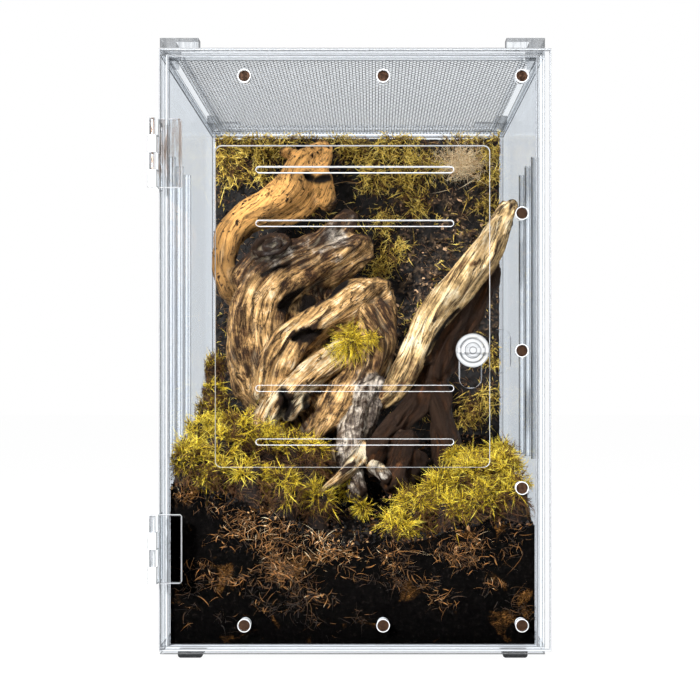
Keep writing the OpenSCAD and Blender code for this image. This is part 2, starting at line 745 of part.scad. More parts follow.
left_mounds = [
    [-86, 16, 98, 11], [-75, 34, 104, 12], [-66, 52, 111, 12], [-52, 58, 106, 11],
    [-37, 62, 103, 10], [-23, 62, 98, 8], [-74, 16, 91, 10], [-55, 18, 89, 10],
    [-37, 20, 84, 9], [-88, 60, 112, 9], [-88, 95, 120, 9], [-90, 128, 134, 8],
    [-91, 138, 152, 6], [-20, 30, 76, 8],
];
right_mounds = [
    [24, 16, 62, 8], [33, 22, 74, 9], [47, 26, 82, 10], [64, 30, 87, 11], [80, 36, 91, 11],
    [86, 18, 82, 9], [68, 16, 77, 10], [52, 16, 73, 8], [84, 60, 98, 8], [66, 52, 94, 8],
];
tuft_places = [[-3, 96, 166, 10], [9, 94, 168, 6], [-14, 98, 160, 6]];
soil_tufts = [[-3, 62, 80, 6], [5, 44, 72, 6], [58, 70, 100, 7]];

module moss_left_mound()
    color([0.72, 0.63, 0.16])
        intersection() {
            plant_room();
            difference() {
                union() for (p = left_mounds) mound(p);
                trunk_form();
                soil_block(1);
                backdrop_block(1);
            }
        }

module right_mound_form() for (p = right_mounds) mound(p);

module moss_right_mound()
    color([0.75, 0.67, 0.18])
        intersection() {
            plant_room();
            difference() {
                right_mound_form();
                trunk_form();
                branch_form();
                soil_block(1);
            }
        }

// Pads of moss on the backdrop: [x, height, radius], each half sunk into the bark's place
backdrop_pads = [
    [-88, 297, 10], [-74, 300, 9], [-60, 297, 10], [-46, 301, 8], [-84, 282, 9], [-66, 284, 8],
    [-8, 300, 9], [6, 296, 10], [21, 299, 9], [36, 295, 10], [12, 280, 10], [32, 278, 9],
    [50, 288, 9], [88, 297, 9], [90, 280, 8], [88, 262, 7], [18, 250, 9], [26, 232, 8],
    [16, 218, 8], [40, 262, 8], [88, 160, 8], [86, 130, 9], [74, 120, 9],
];

module moss_backdrop()
    color([0.66, 0.58, 0.17])
        intersection() {
            plant_room();
            difference() {
                union()
                    for (p = backdrop_pads)
                        hull() {
                            at(p[0], plant_back - backdrop_t - 4, p[1]) sphere(r = p[2], $fn = 8);
                            at(p[0], plant_back - 2, p[1]) sphere(r = p[2], $fn = 8);
                        }
                trunk_form();
                backdrop_block(1);
                soil_block(1);
            }
        }

module moss_tufts()
    color([0.8, 0.71, 0.2])
        intersection() {
            plant_room();
            difference() {
                union() {
                    for (p = tuft_places)
                        hull() {
                            at(p[0], p[1], p[2]) sphere(r = p[3], $fn = 10);
                            at(p[0], p[1] + 12, p[2]) sphere(r = 0.8 * p[3], $fn = 10);
                        }
                    for (p = soil_tufts) mound(p);
                    for (p = soil_tufts) mound([p[0] + 6, p[1] - 4, p[2] - 3, 0.7 * p[3]]);
                }
                trunk_form();
                branch_form();
                right_mound_form();
                soil_block(1);
            }
        }

module backdrop_panel() color([0.16, 0.12, 0.09]) backdrop_block();
module substrate() color([0.1, 0.08, 0.07]) soil_block();

base_panel();
left_wall();
right_wall();
back_wall();
front_frame();
frame_magnets();
strike_plate();
feet();
upper_hinge_side_leaf();
lower_hinge_side_leaf();
upper_hinge_pin();
lower_hinge_pin();
backdrop_panel();
substrate();
driftwood_trunk();
driftwood_branch();
moss_left_mound();
moss_right_mound();
moss_backdrop();
moss_tufts();
door_panel();
door_magnets();
upper_hinge_door_leaf();
lower_hinge_door_leaf();
latch_knob();
latch_spindle();
latch_bush();
latch_tab();
latch_screw();
lid_panel();
lid_mesh();
stacking_corners();
lid_locators();
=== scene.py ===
"""The looks of a planted reptile terrarium, built round its packed construction.

The clear case, its hinges, latch and magnets keep the construction's meshes and get their finishes
here. The lid's woven mesh, the bark backdrop, the soil, the driftwood and the moss are modelled
here, from the same places and sizes as their plain solids.
Lengths are in metres. Lists of places are in millimetres, as [x, depth, height, radius]: x from the
middle of the case, depth from the case's front face and height from the underside of its base.
"""

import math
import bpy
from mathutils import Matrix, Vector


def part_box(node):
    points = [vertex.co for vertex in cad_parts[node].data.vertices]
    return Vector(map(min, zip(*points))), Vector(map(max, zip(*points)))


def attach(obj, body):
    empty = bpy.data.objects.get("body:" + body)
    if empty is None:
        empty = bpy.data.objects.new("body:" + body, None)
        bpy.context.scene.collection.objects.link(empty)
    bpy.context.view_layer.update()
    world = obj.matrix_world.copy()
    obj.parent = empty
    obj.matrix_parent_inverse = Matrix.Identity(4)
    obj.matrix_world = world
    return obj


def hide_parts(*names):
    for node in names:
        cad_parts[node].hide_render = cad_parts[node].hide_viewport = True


bl_info = {
    "name": "Reptile Terrarium",
    "version": (1, 0, 0),
    "blender": (4, 5, 0),
    "location": "3D View > Sidebar > Terrarium",
    "description": "Dresses a clear planted case with acrylic, driftwood, bark, soil and moss",
    "category": "Add Mesh",
}

import bpy
import numpy as np
import openvdb
from mathutils import Vector

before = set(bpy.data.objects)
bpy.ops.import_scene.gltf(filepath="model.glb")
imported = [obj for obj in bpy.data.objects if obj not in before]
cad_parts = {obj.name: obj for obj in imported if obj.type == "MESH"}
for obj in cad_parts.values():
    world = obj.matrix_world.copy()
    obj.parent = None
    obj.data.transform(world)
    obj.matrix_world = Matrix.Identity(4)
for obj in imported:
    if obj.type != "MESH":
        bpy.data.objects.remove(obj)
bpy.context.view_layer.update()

MM = 0.001
TURN = 2 * math.pi

# ---- Places, measured from the case ----

CASE_LOW, CASE_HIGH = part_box("base_panel")
MIDDLE_X = (CASE_LOW.x + CASE_HIGH.x) / 2
FRONT_Y = CASE_LOW.y
BASE_Z = CASE_LOW.z
SHEET = (CASE_HIGH.z - CASE_LOW.z) / MM
BODY_W = (CASE_HIGH.x - CASE_LOW.x) / MM
BODY_D = (CASE_HIGH.y - CASE_LOW.y) / MM
BODY_H = (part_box("back_wall")[1].z - BASE_Z) / MM
INNER_W = BODY_W - 2 * SHEET
PLANT_GAP = 0.2
PLANT_FRONT = SHEET + PLANT_GAP
PLANT_BACK = BODY_D - SHEET - PLANT_GAP
ROOM_X = INNER_W / 2 - PLANT_GAP


def place(points):
    """Row frame places, in metres, of an array of [x, depth, height] in millimetres."""
    points = np.asarray(points, float)
    return points[..., :3] * MM + np.array([MIDDLE_X, FRONT_Y, BASE_Z])


# ---- Driftwood, soil, backdrop and moss, as in the construction ----

UPPER_LIMB = [
    [-22, 166, 295, 5.5], [-27, 163, 288, 10], [-35, 158, 277, 14.5], [-43, 153, 264, 15.5],
    [-57, 148, 254, 12], [-70, 144, 247, 9.5], [-79, 140, 237, 8.5], [-83, 136, 225, 7.5],
    [-83, 131, 213, 7], [-78, 126, 199, 8],
]
CREST_LIMB = [
    [-5, 150, 248, 5], [-11, 147, 240, 7.5], [-21, 143, 232, 8.5], [-34, 138, 226, 8.5],
    [-46, 133, 223, 8], [-59, 129, 216, 8], [-69, 125, 205, 9.5],
]
MAIN_LIMB = [
    [0, 142, 227, 9.5], [-9, 139, 222, 12], [-24, 135, 215, 12.5], [-40, 131, 207, 14.5],
    [-54, 127, 194, 17], [-61, 123, 180, 18], [-63, 119, 165, 16], [-61, 114, 150, 14],
    [-57, 110, 135, 11.5], [-51, 105, 120, 8.5], [-48, 100, 101, 8.5],
]
LOBE_LIMB = [
    [13, 127, 198, 9], [4, 123, 193, 12], [-8, 118, 187, 12], [-21, 113, 180, 10.5],
    [-33, 109, 172, 10], [-42, 106, 163, 10.5], [-49, 103, 152, 10.5], [-54, 100, 137, 8.5],
]
STRAND_LIMB = [
    [-2, 108, 164, 6], [-12, 105, 157, 8], [-24, 102, 149, 8], [-36, 99, 140, 8],
    [-46, 96, 130, 7], [-53, 92, 118, 6.5], [-55, 88, 103, 6.5],
]
ROOT_LIMB = [
    [9, 118, 183, 10], [14, 114, 169, 10], [11, 109, 156, 10], [4, 104, 144, 9.5],
    [-5, 99, 134, 10.5], [-14, 93, 124, 9.5], [-23, 87, 114, 6.5], [-30, 82, 104, 5],
    [-34, 76, 89, 5],
]
BARK_ROOT = [
    [10, 100, 139, 6.5], [5, 94, 128, 9], [0, 87, 115, 8.5], [-2, 79, 103, 7.5], [-2, 70, 92, 6],
    [1, 62, 79, 5.5],
]
CLAW_ROOT = [
    [5, 74, 102, 4.5], [-1, 64, 94, 3.5], [-10, 54, 87, 3], [-17, 45, 81, 2.5], [-23, 38, 75, 2],
]
CORE_LIMB = [
    [-20, 152, 223, 10.5], [-30, 148, 206, 18], [-36, 144, 186, 23.5], [-36, 139, 164, 26.5],
    [-32, 132, 142, 24.5], [-25, 122, 124, 20.5], [-18, 110, 104, 16.5], [-13, 98, 81, 14.5],
]
TRUNK_BURLS = [
    [[-25, 157, 272, 10], [-19, 154, 259, 6]], [[-39, 164, 291, 4.5], [-48, 166, 294, 3.5]],
    [[-59, 125, 225, 5.5], [-46, 125, 229, 5]], [[19, 124, 193, 5.5], [17, 120, 178, 7]],
    [[-8, 117, 190, 6], [0, 118, 197, 6]], [[-69, 116, 162, 10], [-65, 110, 139, 8.5]],
    [[-33, 98, 131, 6], [-40, 96, 124, 5.5]], [[6, 100, 145, 5.5], [21, 97, 136, 4]],
    [[7, 72, 97, 4], [18, 62, 88, 3]],
]
TRUNK_HOLLOWS = [
    [[-37, 145, 274, 1.5], [-32, 144, 273.5, 2.4], [-28, 145, 273, 1.5]],
    [[-26, 146, 272, 1.4], [-21, 147.5, 273.5, 2.4], [-16, 151, 275, 1.5]],
    [[-57, 146, 271, 2.0], [-53, 148, 273, 3.6], [-47, 146, 277, 1.6]],
    [[-47, 112, 188, 3], [-39, 112, 190, 6.5], [-29, 113, 193, 8.5], [-19, 115, 196, 7],
     [-10, 118, 202, 4], [-4, 121, 208, 1.5]],
    [[-38, 100, 167, 2.2], [-31, 101, 170, 3.8], [-25, 103, 173, 3], [-20, 105, 176, 1.5]],
    [[-27, 93, 132, 3.5], [-26, 90, 123, 5.5], [-30, 86, 113, 4]],
    [[-43, 91, 136, 2], [-41, 91, 128, 3.6], [-43, 88, 119, 3]],
    [[1, 140, 237, 1], [-10, 132, 226, 1.5], [-24, 128, 219, 2], [-36, 125, 215, 2],
     [-48, 121, 213, 1.5], [-58, 116, 208, 1]],
    [[-58, 142, 239, 2.5], [-66, 137, 229, 4], [-72, 133, 218, 4], [-74, 128, 205, 2.5]],
    [[-12, 96, 148, 1], [-22, 92, 140, 2.5], [-29, 88, 134, 2.5], [-35, 84, 124, 2.5]],
]
# Balls of [x, depth, height, radius] where the wood has weathered grey
WEATHERED = [
    [-14, 134, 228, 16], [-50, 122, 222, 12], [6, 98, 140, 12], [10, 120, 190, 10],
]

PALE_LIMB = [
    [87, 46, 238, 3.5], [82, 48, 231, 5.5], [76, 53, 219, 7.5], [66, 60, 205, 9], [54, 68, 190, 9],
    [44, 76, 176, 8.5], [37, 83, 162, 7.5], [30, 89, 149, 7], [23, 93, 138, 6], [17, 96, 131, 4],
]
DARK_LIMB = [
    [79, 68, 208, 3.5], [73, 74, 194, 6.5], [64, 81, 180, 7.5], [56, 88, 168, 7.5],
    [50, 93, 155, 7], [45, 96, 143, 6.5], [38, 94, 130, 5.5], [29, 90, 120, 5], [19, 84, 111, 4.5],
    [11, 76, 101, 4],
]
LEG_LIMB = [
    [47, 96, 142, 6], [51, 94, 129, 5.5], [53, 90, 113, 5.5], [54, 84, 98, 6], [53, 78, 80, 6.5],
]
BRANCH_KNOTS = [
    [[86, 46, 238, 3.5], [89, 44, 241, 1.5]], [[82, 48, 237, 3], [83, 45, 242, 1]],
    [[59, 90, 163, 5], [52, 94, 141, 3]], [[50, 84, 173, 6], [43, 87, 159, 5.5]],
    [[15, 74, 104, 4.5], [11, 70, 94, 4.5]], [[29, 78, 105, 7.5], [25, 70, 86, 7.5]],
    [[25, 72, 91, 6], [36, 74, 97, 4.5]],
]
BRANCH_HOLLOWS = [
    [[60, 66, 190, 1], [54, 68, 176, 2], [47, 74, 164, 2.4], [43, 78, 156, 1.6]],
]

LEFT_MOUNDS = [
    [-86, 16, 98, 11], [-75, 34, 104, 12], [-66, 52, 111, 12], [-52, 58, 106, 11],
    [-37, 62, 103, 10], [-23, 62, 98, 8], [-74, 16, 91, 10], [-55, 18, 89, 10],
    [-37, 20, 84, 9], [-88, 60, 112, 9], [-88, 95, 120, 9], [-90, 128, 134, 8],
    [-91, 138, 152, 6], [-20, 30, 76, 8],
]
RIGHT_MOUNDS = [
    [24, 16, 62, 8], [33, 22, 74, 9], [47, 26, 82, 10], [64, 30, 87, 11], [80, 36, 91, 11],
    [86, 18, 82, 9], [68, 16, 77, 10], [52, 16, 73, 8], [84, 60, 98, 8], [66, 52, 94, 8],
]
TUFT_PLACES = [[-3, 96, 166, 10], [9, 94, 168, 6], [-14, 98, 160, 6]]
SOIL_TUFTS = [[-3, 62, 80, 6], [5, 44, 72, 6], [58, 70, 100, 7]]
BACKDROP_PADS = [
    [-88, 297, 10], [-74, 300, 9], [-60, 297, 10], [-46, 301, 8], [-84, 282, 9], [-66, 284, 8],
    [-8, 300, 9], [6, 296, 10], [21, 299, 9], [36, 295, 10], [12, 280, 10], [32, 278, 9],
    [50, 288, 9], [88, 297, 9], [90, 280, 8], [88, 262, 7], [18, 250, 9], [26, 232, 8],
    [16, 218, 8], [40, 262, 8], [88, 160, 8], [86, 130, 9], [74, 120, 9],
]

# Clumps of fibre at the front of the soil, as [x, height, spread, fibres, how pale]
SOIL_CLUMPS = [
    [-16, 61, 8, 220, 0.7], [-4, 52, 6, 110, 0.5], [-36, 42, 6, 260, 0.12], [-58, 66, 6, 90, 0.25],
    [62, 54, 7, 130, 0.2], [22, 46, 6, 90, 0.15], [-20, 30, 4, 60, 0.25], [48, 28, 4, 50, 0.2],
]

# Depth behind which the mounds' moss is dry
DRY_DEPTH = 90
# Height at which the smooth upper limb is still brown, and the rise over which it turns golden. The
# brown below is painted shade.
BEND_LOW, BEND_RISE = 222, 46
# The door's vent slots: heights above the floor, length, width and the x of their middles
DOOR_SLOTS_H = [254.6, 226.9, 141.7, 114.0]
DOOR_SLOT_L, DOOR_SLOT_W, SLOT_MIDDLE_X = 102, 3, 2.6
# Painted highlights on the door, in metres, as bright rims for the light in the cut walls of its
# slots and bores: width round a slot, rise above it, radii round a magnet
SLOT_RIM, RIM_RISE = 0.22 * MM, 0.12 * MM
MAGNET_RIM = (3.05 * MM, 3.45 * MM)
SOIL_H, SOIL_LEFT, SOIL_RIGHT, SOIL_RISE = 58, 28, 10, 40
BACKDROP_T, BACKDROP_RELIEF = 7, 5
BACKDROP_FRONT = PLANT_BACK - BACKDROP_T - BACKDROP_RELIEF
BACKDROP_TOP = BODY_H - 4


def smooth(t):
    """A soft step from 0 to 1."""
    t = np.clip(t, 0, 1)
    return t * t * (3 - 2 * t)


def soil_at(x, depth):
    """Height of the soil, in millimetres."""
    return (
        SOIL_H
        + SOIL_LEFT * smooth((-x / (INNER_W / 2) - 0.05) / 0.85)
        + SOIL_RIGHT * smooth((x / (INNER_W / 2) - 0.1) / 0.8)
        + SOIL_RISE * (depth - PLANT_FRONT) / (BACKDROP_FRONT - PLANT_FRONT)
        + 1.5 * np.sin(np.radians(7 * x)) * np.sin(np.radians(6 * depth))
    )


def bark_at(x, height):
    """Depth of the backdrop's face, in millimetres."""
    swirl = np.sin(np.radians(5 * x + 40 * np.sin(np.radians(2 * height))))
    roll = np.sin(np.radians(4 * height + 3 * x))
    return PLANT_BACK - BACKDROP_T - BACKDROP_RELIEF * (0.5 + 0.25 * swirl + 0.25 * roll)


def curve(points, steps):
    """A smooth curve through rows of numbers, with steps points to each stretch."""
    points = np.asarray(points, float)
    last = len(points) - 1
    rows = []
    for i in range(last):
        a, b, c, d = points[max(0, i - 1)], points[i], points[i + 1], points[min(last, i + 2)]
        t = (np.arange(steps) / steps)[:, None]
        rows.append(
            0.5 * (2 * b + (c - a) * t + (2 * a - 5 * b + 4 * c - d) * t**2
                   + (3 * b - a - 3 * c + d) * t**3)
        )
    return np.vstack(rows + [points[-1:]])


# ---- Noise ----


def hashed(cell, seed):
    """A repeatable number from 0 to 1 for each whole-number cell."""
    cell = cell.astype(np.int64)
    mixed = cell[..., 0] * 73856093 ^ cell[..., 1] * 19349663 ^ cell[..., 2] * 83492791
    mixed = (mixed ^ (seed * 2654435761)) & 0xFFFFFFFF
    mixed = ((mixed ^ (mixed >> 15)) * 2246822519) & 0xFFFFFFFF
    mixed = ((mixed ^ (mixed >> 13)) * 3266489917) & 0xFFFFFFFF
    return (mixed ^ (mixed >> 16)) / 0xFFFFFFFF


def noise(points, seed=0):
    """Smooth noise from 0 to 1 with features one unit wide."""
    points = np.asarray(points, float)
    cell = np.floor(points)
    t = points - cell
    t = t * t * (3 - 2 * t)
    total = np.zeros(points.shape[:-1])
    for corner in np.ndindex(2, 2, 2):
        corner = np.array(corner)
        weight = np.prod(np.where(corner == 1, t, 1 - t), axis=-1)
        total += weight * hashed(cell + corner, seed)
    return total


def fractal(points, octaves=3, seed=0):
    """Noise from 0 to 1 with finer noise on top of it."""
    points = np.asarray(points, float)
    total, strength, whole = 0, 1, 0
    for i in range(octaves):
        total = total + strength * noise(points * 2**i + 17.3 * i, seed + i)
        whole += strength
        strength *= 0.5
    return total / whole


def crease(values):
    """Turns noise into sharp valleys: 0 in a valley and 1 away from it."""
    return np.abs(2 * values - 1)


def cells(points, seed=0):
    """For scattered spots, one to each unit square: distances to the nearest and the next nearest
    spot, and a number from 0 to 1 that belongs to the nearest."""
    square = np.floor(points)
    near = np.full(points.shape[:-1], 9.0)
    far, own = near.copy(), near.copy()
    for i, j in np.ndindex(3, 3):
        corner = square + [i - 1, j - 1]
        key = np.concatenate([corner, corner[..., :1] * 0], axis=-1)
        spot = corner + np.stack([hashed(key, seed), hashed(key, seed + 1)], axis=-1)
        gap = np.linalg.norm(points - spot, axis=-1)
        far = np.minimum(far, np.maximum(near, gap))
        own = np.where(gap < near, hashed(key, seed + 2), own)
        near = np.minimum(near, gap)
    return near, far, own


# ---- Meshes ----


def mesh_object(name, points, faces, attributes=None, flat=False):
    """A mesh object from places in metres and arrays of faces, each array of one corner count."""
    mesh = bpy.data.meshes.new(name)
    mesh.vertices.add(len(points))
    mesh.vertices.foreach_set("co", np.asarray(points, np.float32).ravel())
    corners = np.concatenate([np.asarray(f, np.int32).ravel() for f in faces])
    counts = np.concatenate([np.full(len(f), f.shape[1], np.int32) for f in faces])
    mesh.loops.add(len(corners))
    mesh.loops.foreach_set("vertex_index", corners)
    mesh.polygons.add(len(counts))
    mesh.polygons.foreach_set("loop_start", np.concatenate([[0], np.cumsum(counts)[:-1]]))
    for key, values in (attributes or {}).items():
        values = np.asarray(values, np.float32)
        kind, field = ("FLOAT_VECTOR", "vector") if values.ndim == 2 else ("FLOAT", "value")
        mesh.attributes.new(key, kind, "POINT").data.foreach_set(field, values.ravel())
    mesh.update(calc_edges=True)
    mesh.polygons.foreach_set("use_smooth", np.full(len(counts), not flat))
    mesh.validate()
    made = bpy.data.objects.new(name, mesh)
    bpy.context.scene.collection.objects.link(made)
    return made


def vertex_normals(mesh):
    normals = np.zeros(len(mesh.vertices) * 3, np.float32)
    mesh.vertices.foreach_get("normal", normals)
    return normals.reshape(-1, 3)


def relaxed(points, edges, turns):
    """Places after each is moved towards the mean of its neighbours, turns times."""
    count = np.bincount(edges.ravel(), minlength=len(points))[:, None]
    for _ in range(turns):
        total = np.zeros_like(points)
        for axis in range(3):
            total[:, axis] = np.bincount(
                edges[:, 0], points[edges[:, 1], axis], len(points)
            ) + np.bincount(edges[:, 1], points[edges[:, 0], axis], len(points))
        points = 0.5 * points + 0.5 * total / np.maximum(count, 1)
    return points


def unit(vectors):
    return vectors / np.maximum(np.linalg.norm(vectors, axis=-1, keepdims=True), 1e-9)


def across(directions, rng):
    """Two directions square to each of directions and to each other, at a random turn."""
    side = unit(np.cross(directions, rng.normal(size=directions.shape)))
    return side, np.cross(directions, side)


def strands(name, roots, aims, bends, lengths, widths, tints, rng, rings=3, flatness=0.4):
    """Tapered, curved strands with three sides each and a closed root. roots are in millimetres;
    aims are unit directions, and bends how far the tip leans off, as a share of the length.
    The tint attribute rises towards each tip, which paints shade at each strand's root and leaves
    the tips paler."""
    sides = 3
    count = len(roots)
    share = np.arange(rings + 1) / rings
    reach = lengths[:, None, None] * share[None, :, None]
    centre = roots[:, None] + aims[:, None] * reach + bends[:, None] * reach * share[None, :, None]
    side, over = across(aims, rng)
    girth = widths[:, None] / 2 * (1 - share[None, :rings] ** 2 * 0.8)
    rims = []
    for k in range(sides):
        turn = TURN * k / sides
        spoke = math.cos(turn) * side + flatness * math.sin(turn) * over
        rims.append(centre[:, :rings] + girth[..., None] * spoke[:, None])
    body = np.stack(rims, axis=2).reshape(count, rings * sides, 3)
    points = np.concatenate([body, centre[:, rings:]], axis=1)
    points[..., 1] = np.clip(points[..., 1], PLANT_FRONT + 0.05, PLANT_BACK)
    points[..., 0] = np.clip(points[..., 0], -ROOM_X, ROOM_X)
    points[..., 2] = np.clip(points[..., 2], SHEET + 0.3, BODY_H - 0.3)
    each = rings * sides + 1
    start = (np.arange(count) * each)[:, None]
    quads = [
        [ring * sides + k, ring * sides + (k + 1) % sides,
         (ring + 1) * sides + (k + 1) % sides, (ring + 1) * sides + k]
        for ring in range(rings - 1) for k in range(sides)
    ]
    tail = (rings - 1) * sides
    triangles = [[tail + k, tail + (k + 1) % sides, each - 1] for k in range(sides)] + [[2, 1, 0]]
    faces = [
        (start[:, :, None] + np.array(part)[None]).reshape(-1, len(part[0]))
        for part in (quads, triangles) if part
    ]
    along = np.concatenate([np.repeat(share[:rings], sides), [1.0]])
    # Painted shade: darker towards the root of each strand.
    tint = np.clip(tints[:, None] * (0.32 + 0.8 * along[None]), 0, 1)
    return mesh_object(name, place(points.reshape(-1, 3)), faces, {"tint": tint.ravel()})


def feathered(name, roots, aims, bends, lengths, widths, tints, rng, leaves):
    """Fronds of moss: each a curved stem with a number of short leaves on either side of it."""
    owner = np.repeat(np.arange(len(roots)), leaves)
    share = rng.uniform(0.15, 0.85, len(owner))[:, None]
    reach = lengths[owner][:, None] * share
    bases = roots[owner] + aims[owner] * reach + bends[owner] * reach * share
    ways = unit(aims[owner] + 1.2 * share * bends[owner])
    out = unit(ways + 0.9 * unit(np.cross(ways, rng.normal(size=ways.shape))))
    short = lengths[owner] * rng.uniform(0.25, 0.5, len(owner)) * (1.1 - share[:, 0])
    lit = np.clip(tints[owner] * (0.75 + 0.5 * share[:, 0]), 0, 1)
    stems = strands(name, roots, aims, bends, lengths, widths, tints, rng)
    sprigs = strands(
        name + "_leaves", bases, out, 0.5 * bends[owner], short, 0.85 * widths[owner], lit, rng,
        rings=1,
    )
    return stems, sprigs


def chips(name, centres, normals, sizes, thickness, tints, rng):
    """Flat broken chips: five-cornered plates that thin out to their rims."""
    rim = 5
    count = len(centres)
    side, over = across(normals, rng)
    turn = TURN * (np.arange(rim)[None] + rng.uniform(-0.3, 0.3, (count, rim))) / rim
    spread = sizes[:, None] / 2 * rng.uniform(0.55, 1.25, (count, rim))
    edge = (
        centres[:, None]
        + (np.cos(turn) * spread)[..., None] * side[:, None]
        + (np.sin(turn) * spread * rng.uniform(0.5, 1, (count, 1)))[..., None] * over[:, None]
    )
    rise = normals * thickness[:, None] / 2
    points = np.concatenate([edge, (centres + rise)[:, None], (centres - rise)[:, None]], axis=1)
    points[..., 1] = np.clip(points[..., 1], PLANT_FRONT + 0.05, PLANT_BACK)
    points[..., 0] = np.clip(points[..., 0], -ROOM_X, ROOM_X)
    start = (np.arange(count) * (rim + 2))[:, None]
    triangles = [[k, (k + 1) % rim, rim] for k in range(rim)]
    triangles += [[(k + 1) % rim, k, rim + 1] for k in range(rim)]
    faces = (start[:, :, None] + np.array(triangles)[None]).reshape(-1, 3)
    tint = np.repeat(tints[:, None], rim + 2, axis=1)
    kept = {"tint": tint.ravel()}
    return mesh_object(name, place(points.reshape(-1, 3)), [faces], kept, flat=True)


# ---- Gnarled wood ----

FIELD_FAR = 20.0


def blended(a, b, radius):
    """The lesser of two distances, rounded where they cross."""
    h = np.clip(0.5 + 0.5 * (b - a) / radius, 0, 1)
    return b + (a - b) * h - radius * h * (1 - h)


class Limb:
    """A limb's middle line, with directions across it at every place."""

    STEPS = 8

    def __init__(self, points, ridges=3, twist=0.0):
        path = curve(points, self.STEPS)
        self.centres, self.radii = path[:, :3], path[:, 3]
        ahead = np.vstack([self.centres[1:], self.centres[-1:]])
        behind = np.vstack([self.centres[:1], self.centres[:-1]])
        self.ways = unit(ahead - behind)
        self.side = unit(np.cross(self.ways, [0.0, 1.0, 0.0]))
        self.over = np.cross(self.ways, self.side)
        steps = np.linalg.norm(np.diff(self.centres, axis=0), axis=1)
        self.lengths = np.concatenate([[0], np.cumsum(steps)])
        self.ridges, self.twist = ridges, twist

    def nearest(self, points, first=0, last=None):
        """For each point: its nearest place on the line, of those from first to last."""
        best = np.full(len(points), 1e9)
        index = np.zeros(len(points), int)
        for i in range(max(0, first), min(len(self.radii), last or len(self.radii))):
            gap = np.linalg.norm(points - self.centres[i], axis=1) - 0.5 * self.radii[i]
            closer = gap < best
            best[closer], index[closer] = gap[closer], i
        return index

    def grain(self, points):
        """How far each point is outside the limb, and its place along and across it."""
        index = self.nearest(points)
        offset = points - self.centres[index]
        u = np.sum(offset * self.side[index], axis=1)
        v = np.sum(offset * self.over[index], axis=1)
        along = self.lengths[index] + np.sum(offset * self.ways[index], axis=1)
        cos, sin = np.cos(self.twist * along), np.sin(self.twist * along)
        outside = np.linalg.norm(offset, axis=1) - self.radii[index]
        return outside, np.stack([along, u * cos - v * sin, u * sin + v * cos], axis=1)

    def distance(self, points, first, last):
        """Distance to the ridged limb, below 0 inside it."""
        index = self.nearest(points, first, last)
        offset = points - self.centres[index]
        u = np.sum(offset * self.side[index], axis=1)
        v = np.sum(offset * self.over[index], axis=1)
        angle = np.arctan2(v, u)
        ring = 2 * index / self.STEPS
        wave = (
            1 + 0.13 * np.sin(self.ridges * angle + np.radians(25 * ring))
            + 0.06 * np.sin(5 * angle - np.radians(40 * ring))
        )
        return np.linalg.norm(offset, axis=1) - self.radii[index] * wave


def rods_distance(points, chain):
    """Distance to a chain of rounded rods through rows of [x, depth, height, radius]."""
    best = np.full(len(points), 1e9)
    for a, b in zip(chain[:-1], chain[1:]):
        step = b[:3] - a[:3]
        t = np.clip((points - a[:3]) @ step / (step @ step), 0, 1)
        gap = np.linalg.norm(points - a[:3] - t[:, None] * step, axis=1)
        best = np.minimum(best, gap - (a[3] + (b[3] - a[3]) * t))
    return best


class WoodField:
    """A block of distances on a grid, in millimetres, that limbs join and hollows cut into."""

    def __init__(self, low, high, voxel):
        self.low, self.voxel = np.array(low, float), voxel
        self.shape = tuple(np.ceil((np.array(high) - self.low) / voxel).astype(int) + 1)
        self.values = np.full(self.shape, FIELD_FAR, np.float32)

    def window(self, rows, margin):
        """The part of the grid round rows of [x, depth, height, radius], and its points."""
        rows = np.asarray(rows, float)
        reach = rows[:, 3:] + margin
        low = np.floor(((rows[:, :3] - reach).min(0) - self.low) / self.voxel).astype(int)
        high = np.ceil(((rows[:, :3] + reach).max(0) - self.low) / self.voxel).astype(int) + 1
        low, high = np.maximum(low, 0), np.minimum(high, self.shape)
        part = tuple(slice(a, b) for a, b in zip(low, high))
        axes = [np.arange(a, b) * self.voxel + start for a, b, start in zip(low, high, self.low)]
        points = np.stack(np.meshgrid(*axes, indexing="ij"), axis=-1).reshape(-1, 3)
        return part, points

    def change(self, rows, distances, margin, join):
        part, points = self.window(rows, margin)
        old = self.values[part]
        self.values[part] = join(old, distances(points).reshape(old.shape))

    def add_limb(self, points, limb, rounding):
        """Joins a limb on, worked out one stretch at a time to keep the windows small."""
        own = np.full(self.shape, FIELD_FAR, np.float32)
        for i in range(len(points) - 1):
            part, places = self.window(points[i : i + 2], 4)
            first = (i - 1) * limb.STEPS
            near = limb.distance(places, first, first + 3 * limb.STEPS + 1)
            own[part] = np.minimum(own[part], near.reshape(own[part].shape))
        self.values = blended(self.values, own, rounding)

    def add_rod(self, rows, rounding=3.0):
        rows = np.asarray(rows, float)
        self.change(rows, lambda p: rods_distance(p, rows), 6,
                    lambda old, new: blended(old, new, rounding))

    def cut_rod(self, rows, rounding=1.2):
        rows = np.asarray(rows, float)
        self.change(rows, lambda p: rods_distance(p, rows), 3,
                    lambda old, new: -blended(-old, new, rounding))

    def surface(self):
        """Points in millimetres and four-cornered faces of the surface."""
        grid = openvdb.FloatGrid(FIELD_FAR)
        grid.copyFromArray(self.values)
        points, quads = grid.convertToQuads(0.0)
        return points * self.voxel + self.low, quads[:, ::-1].astype(np.int32)


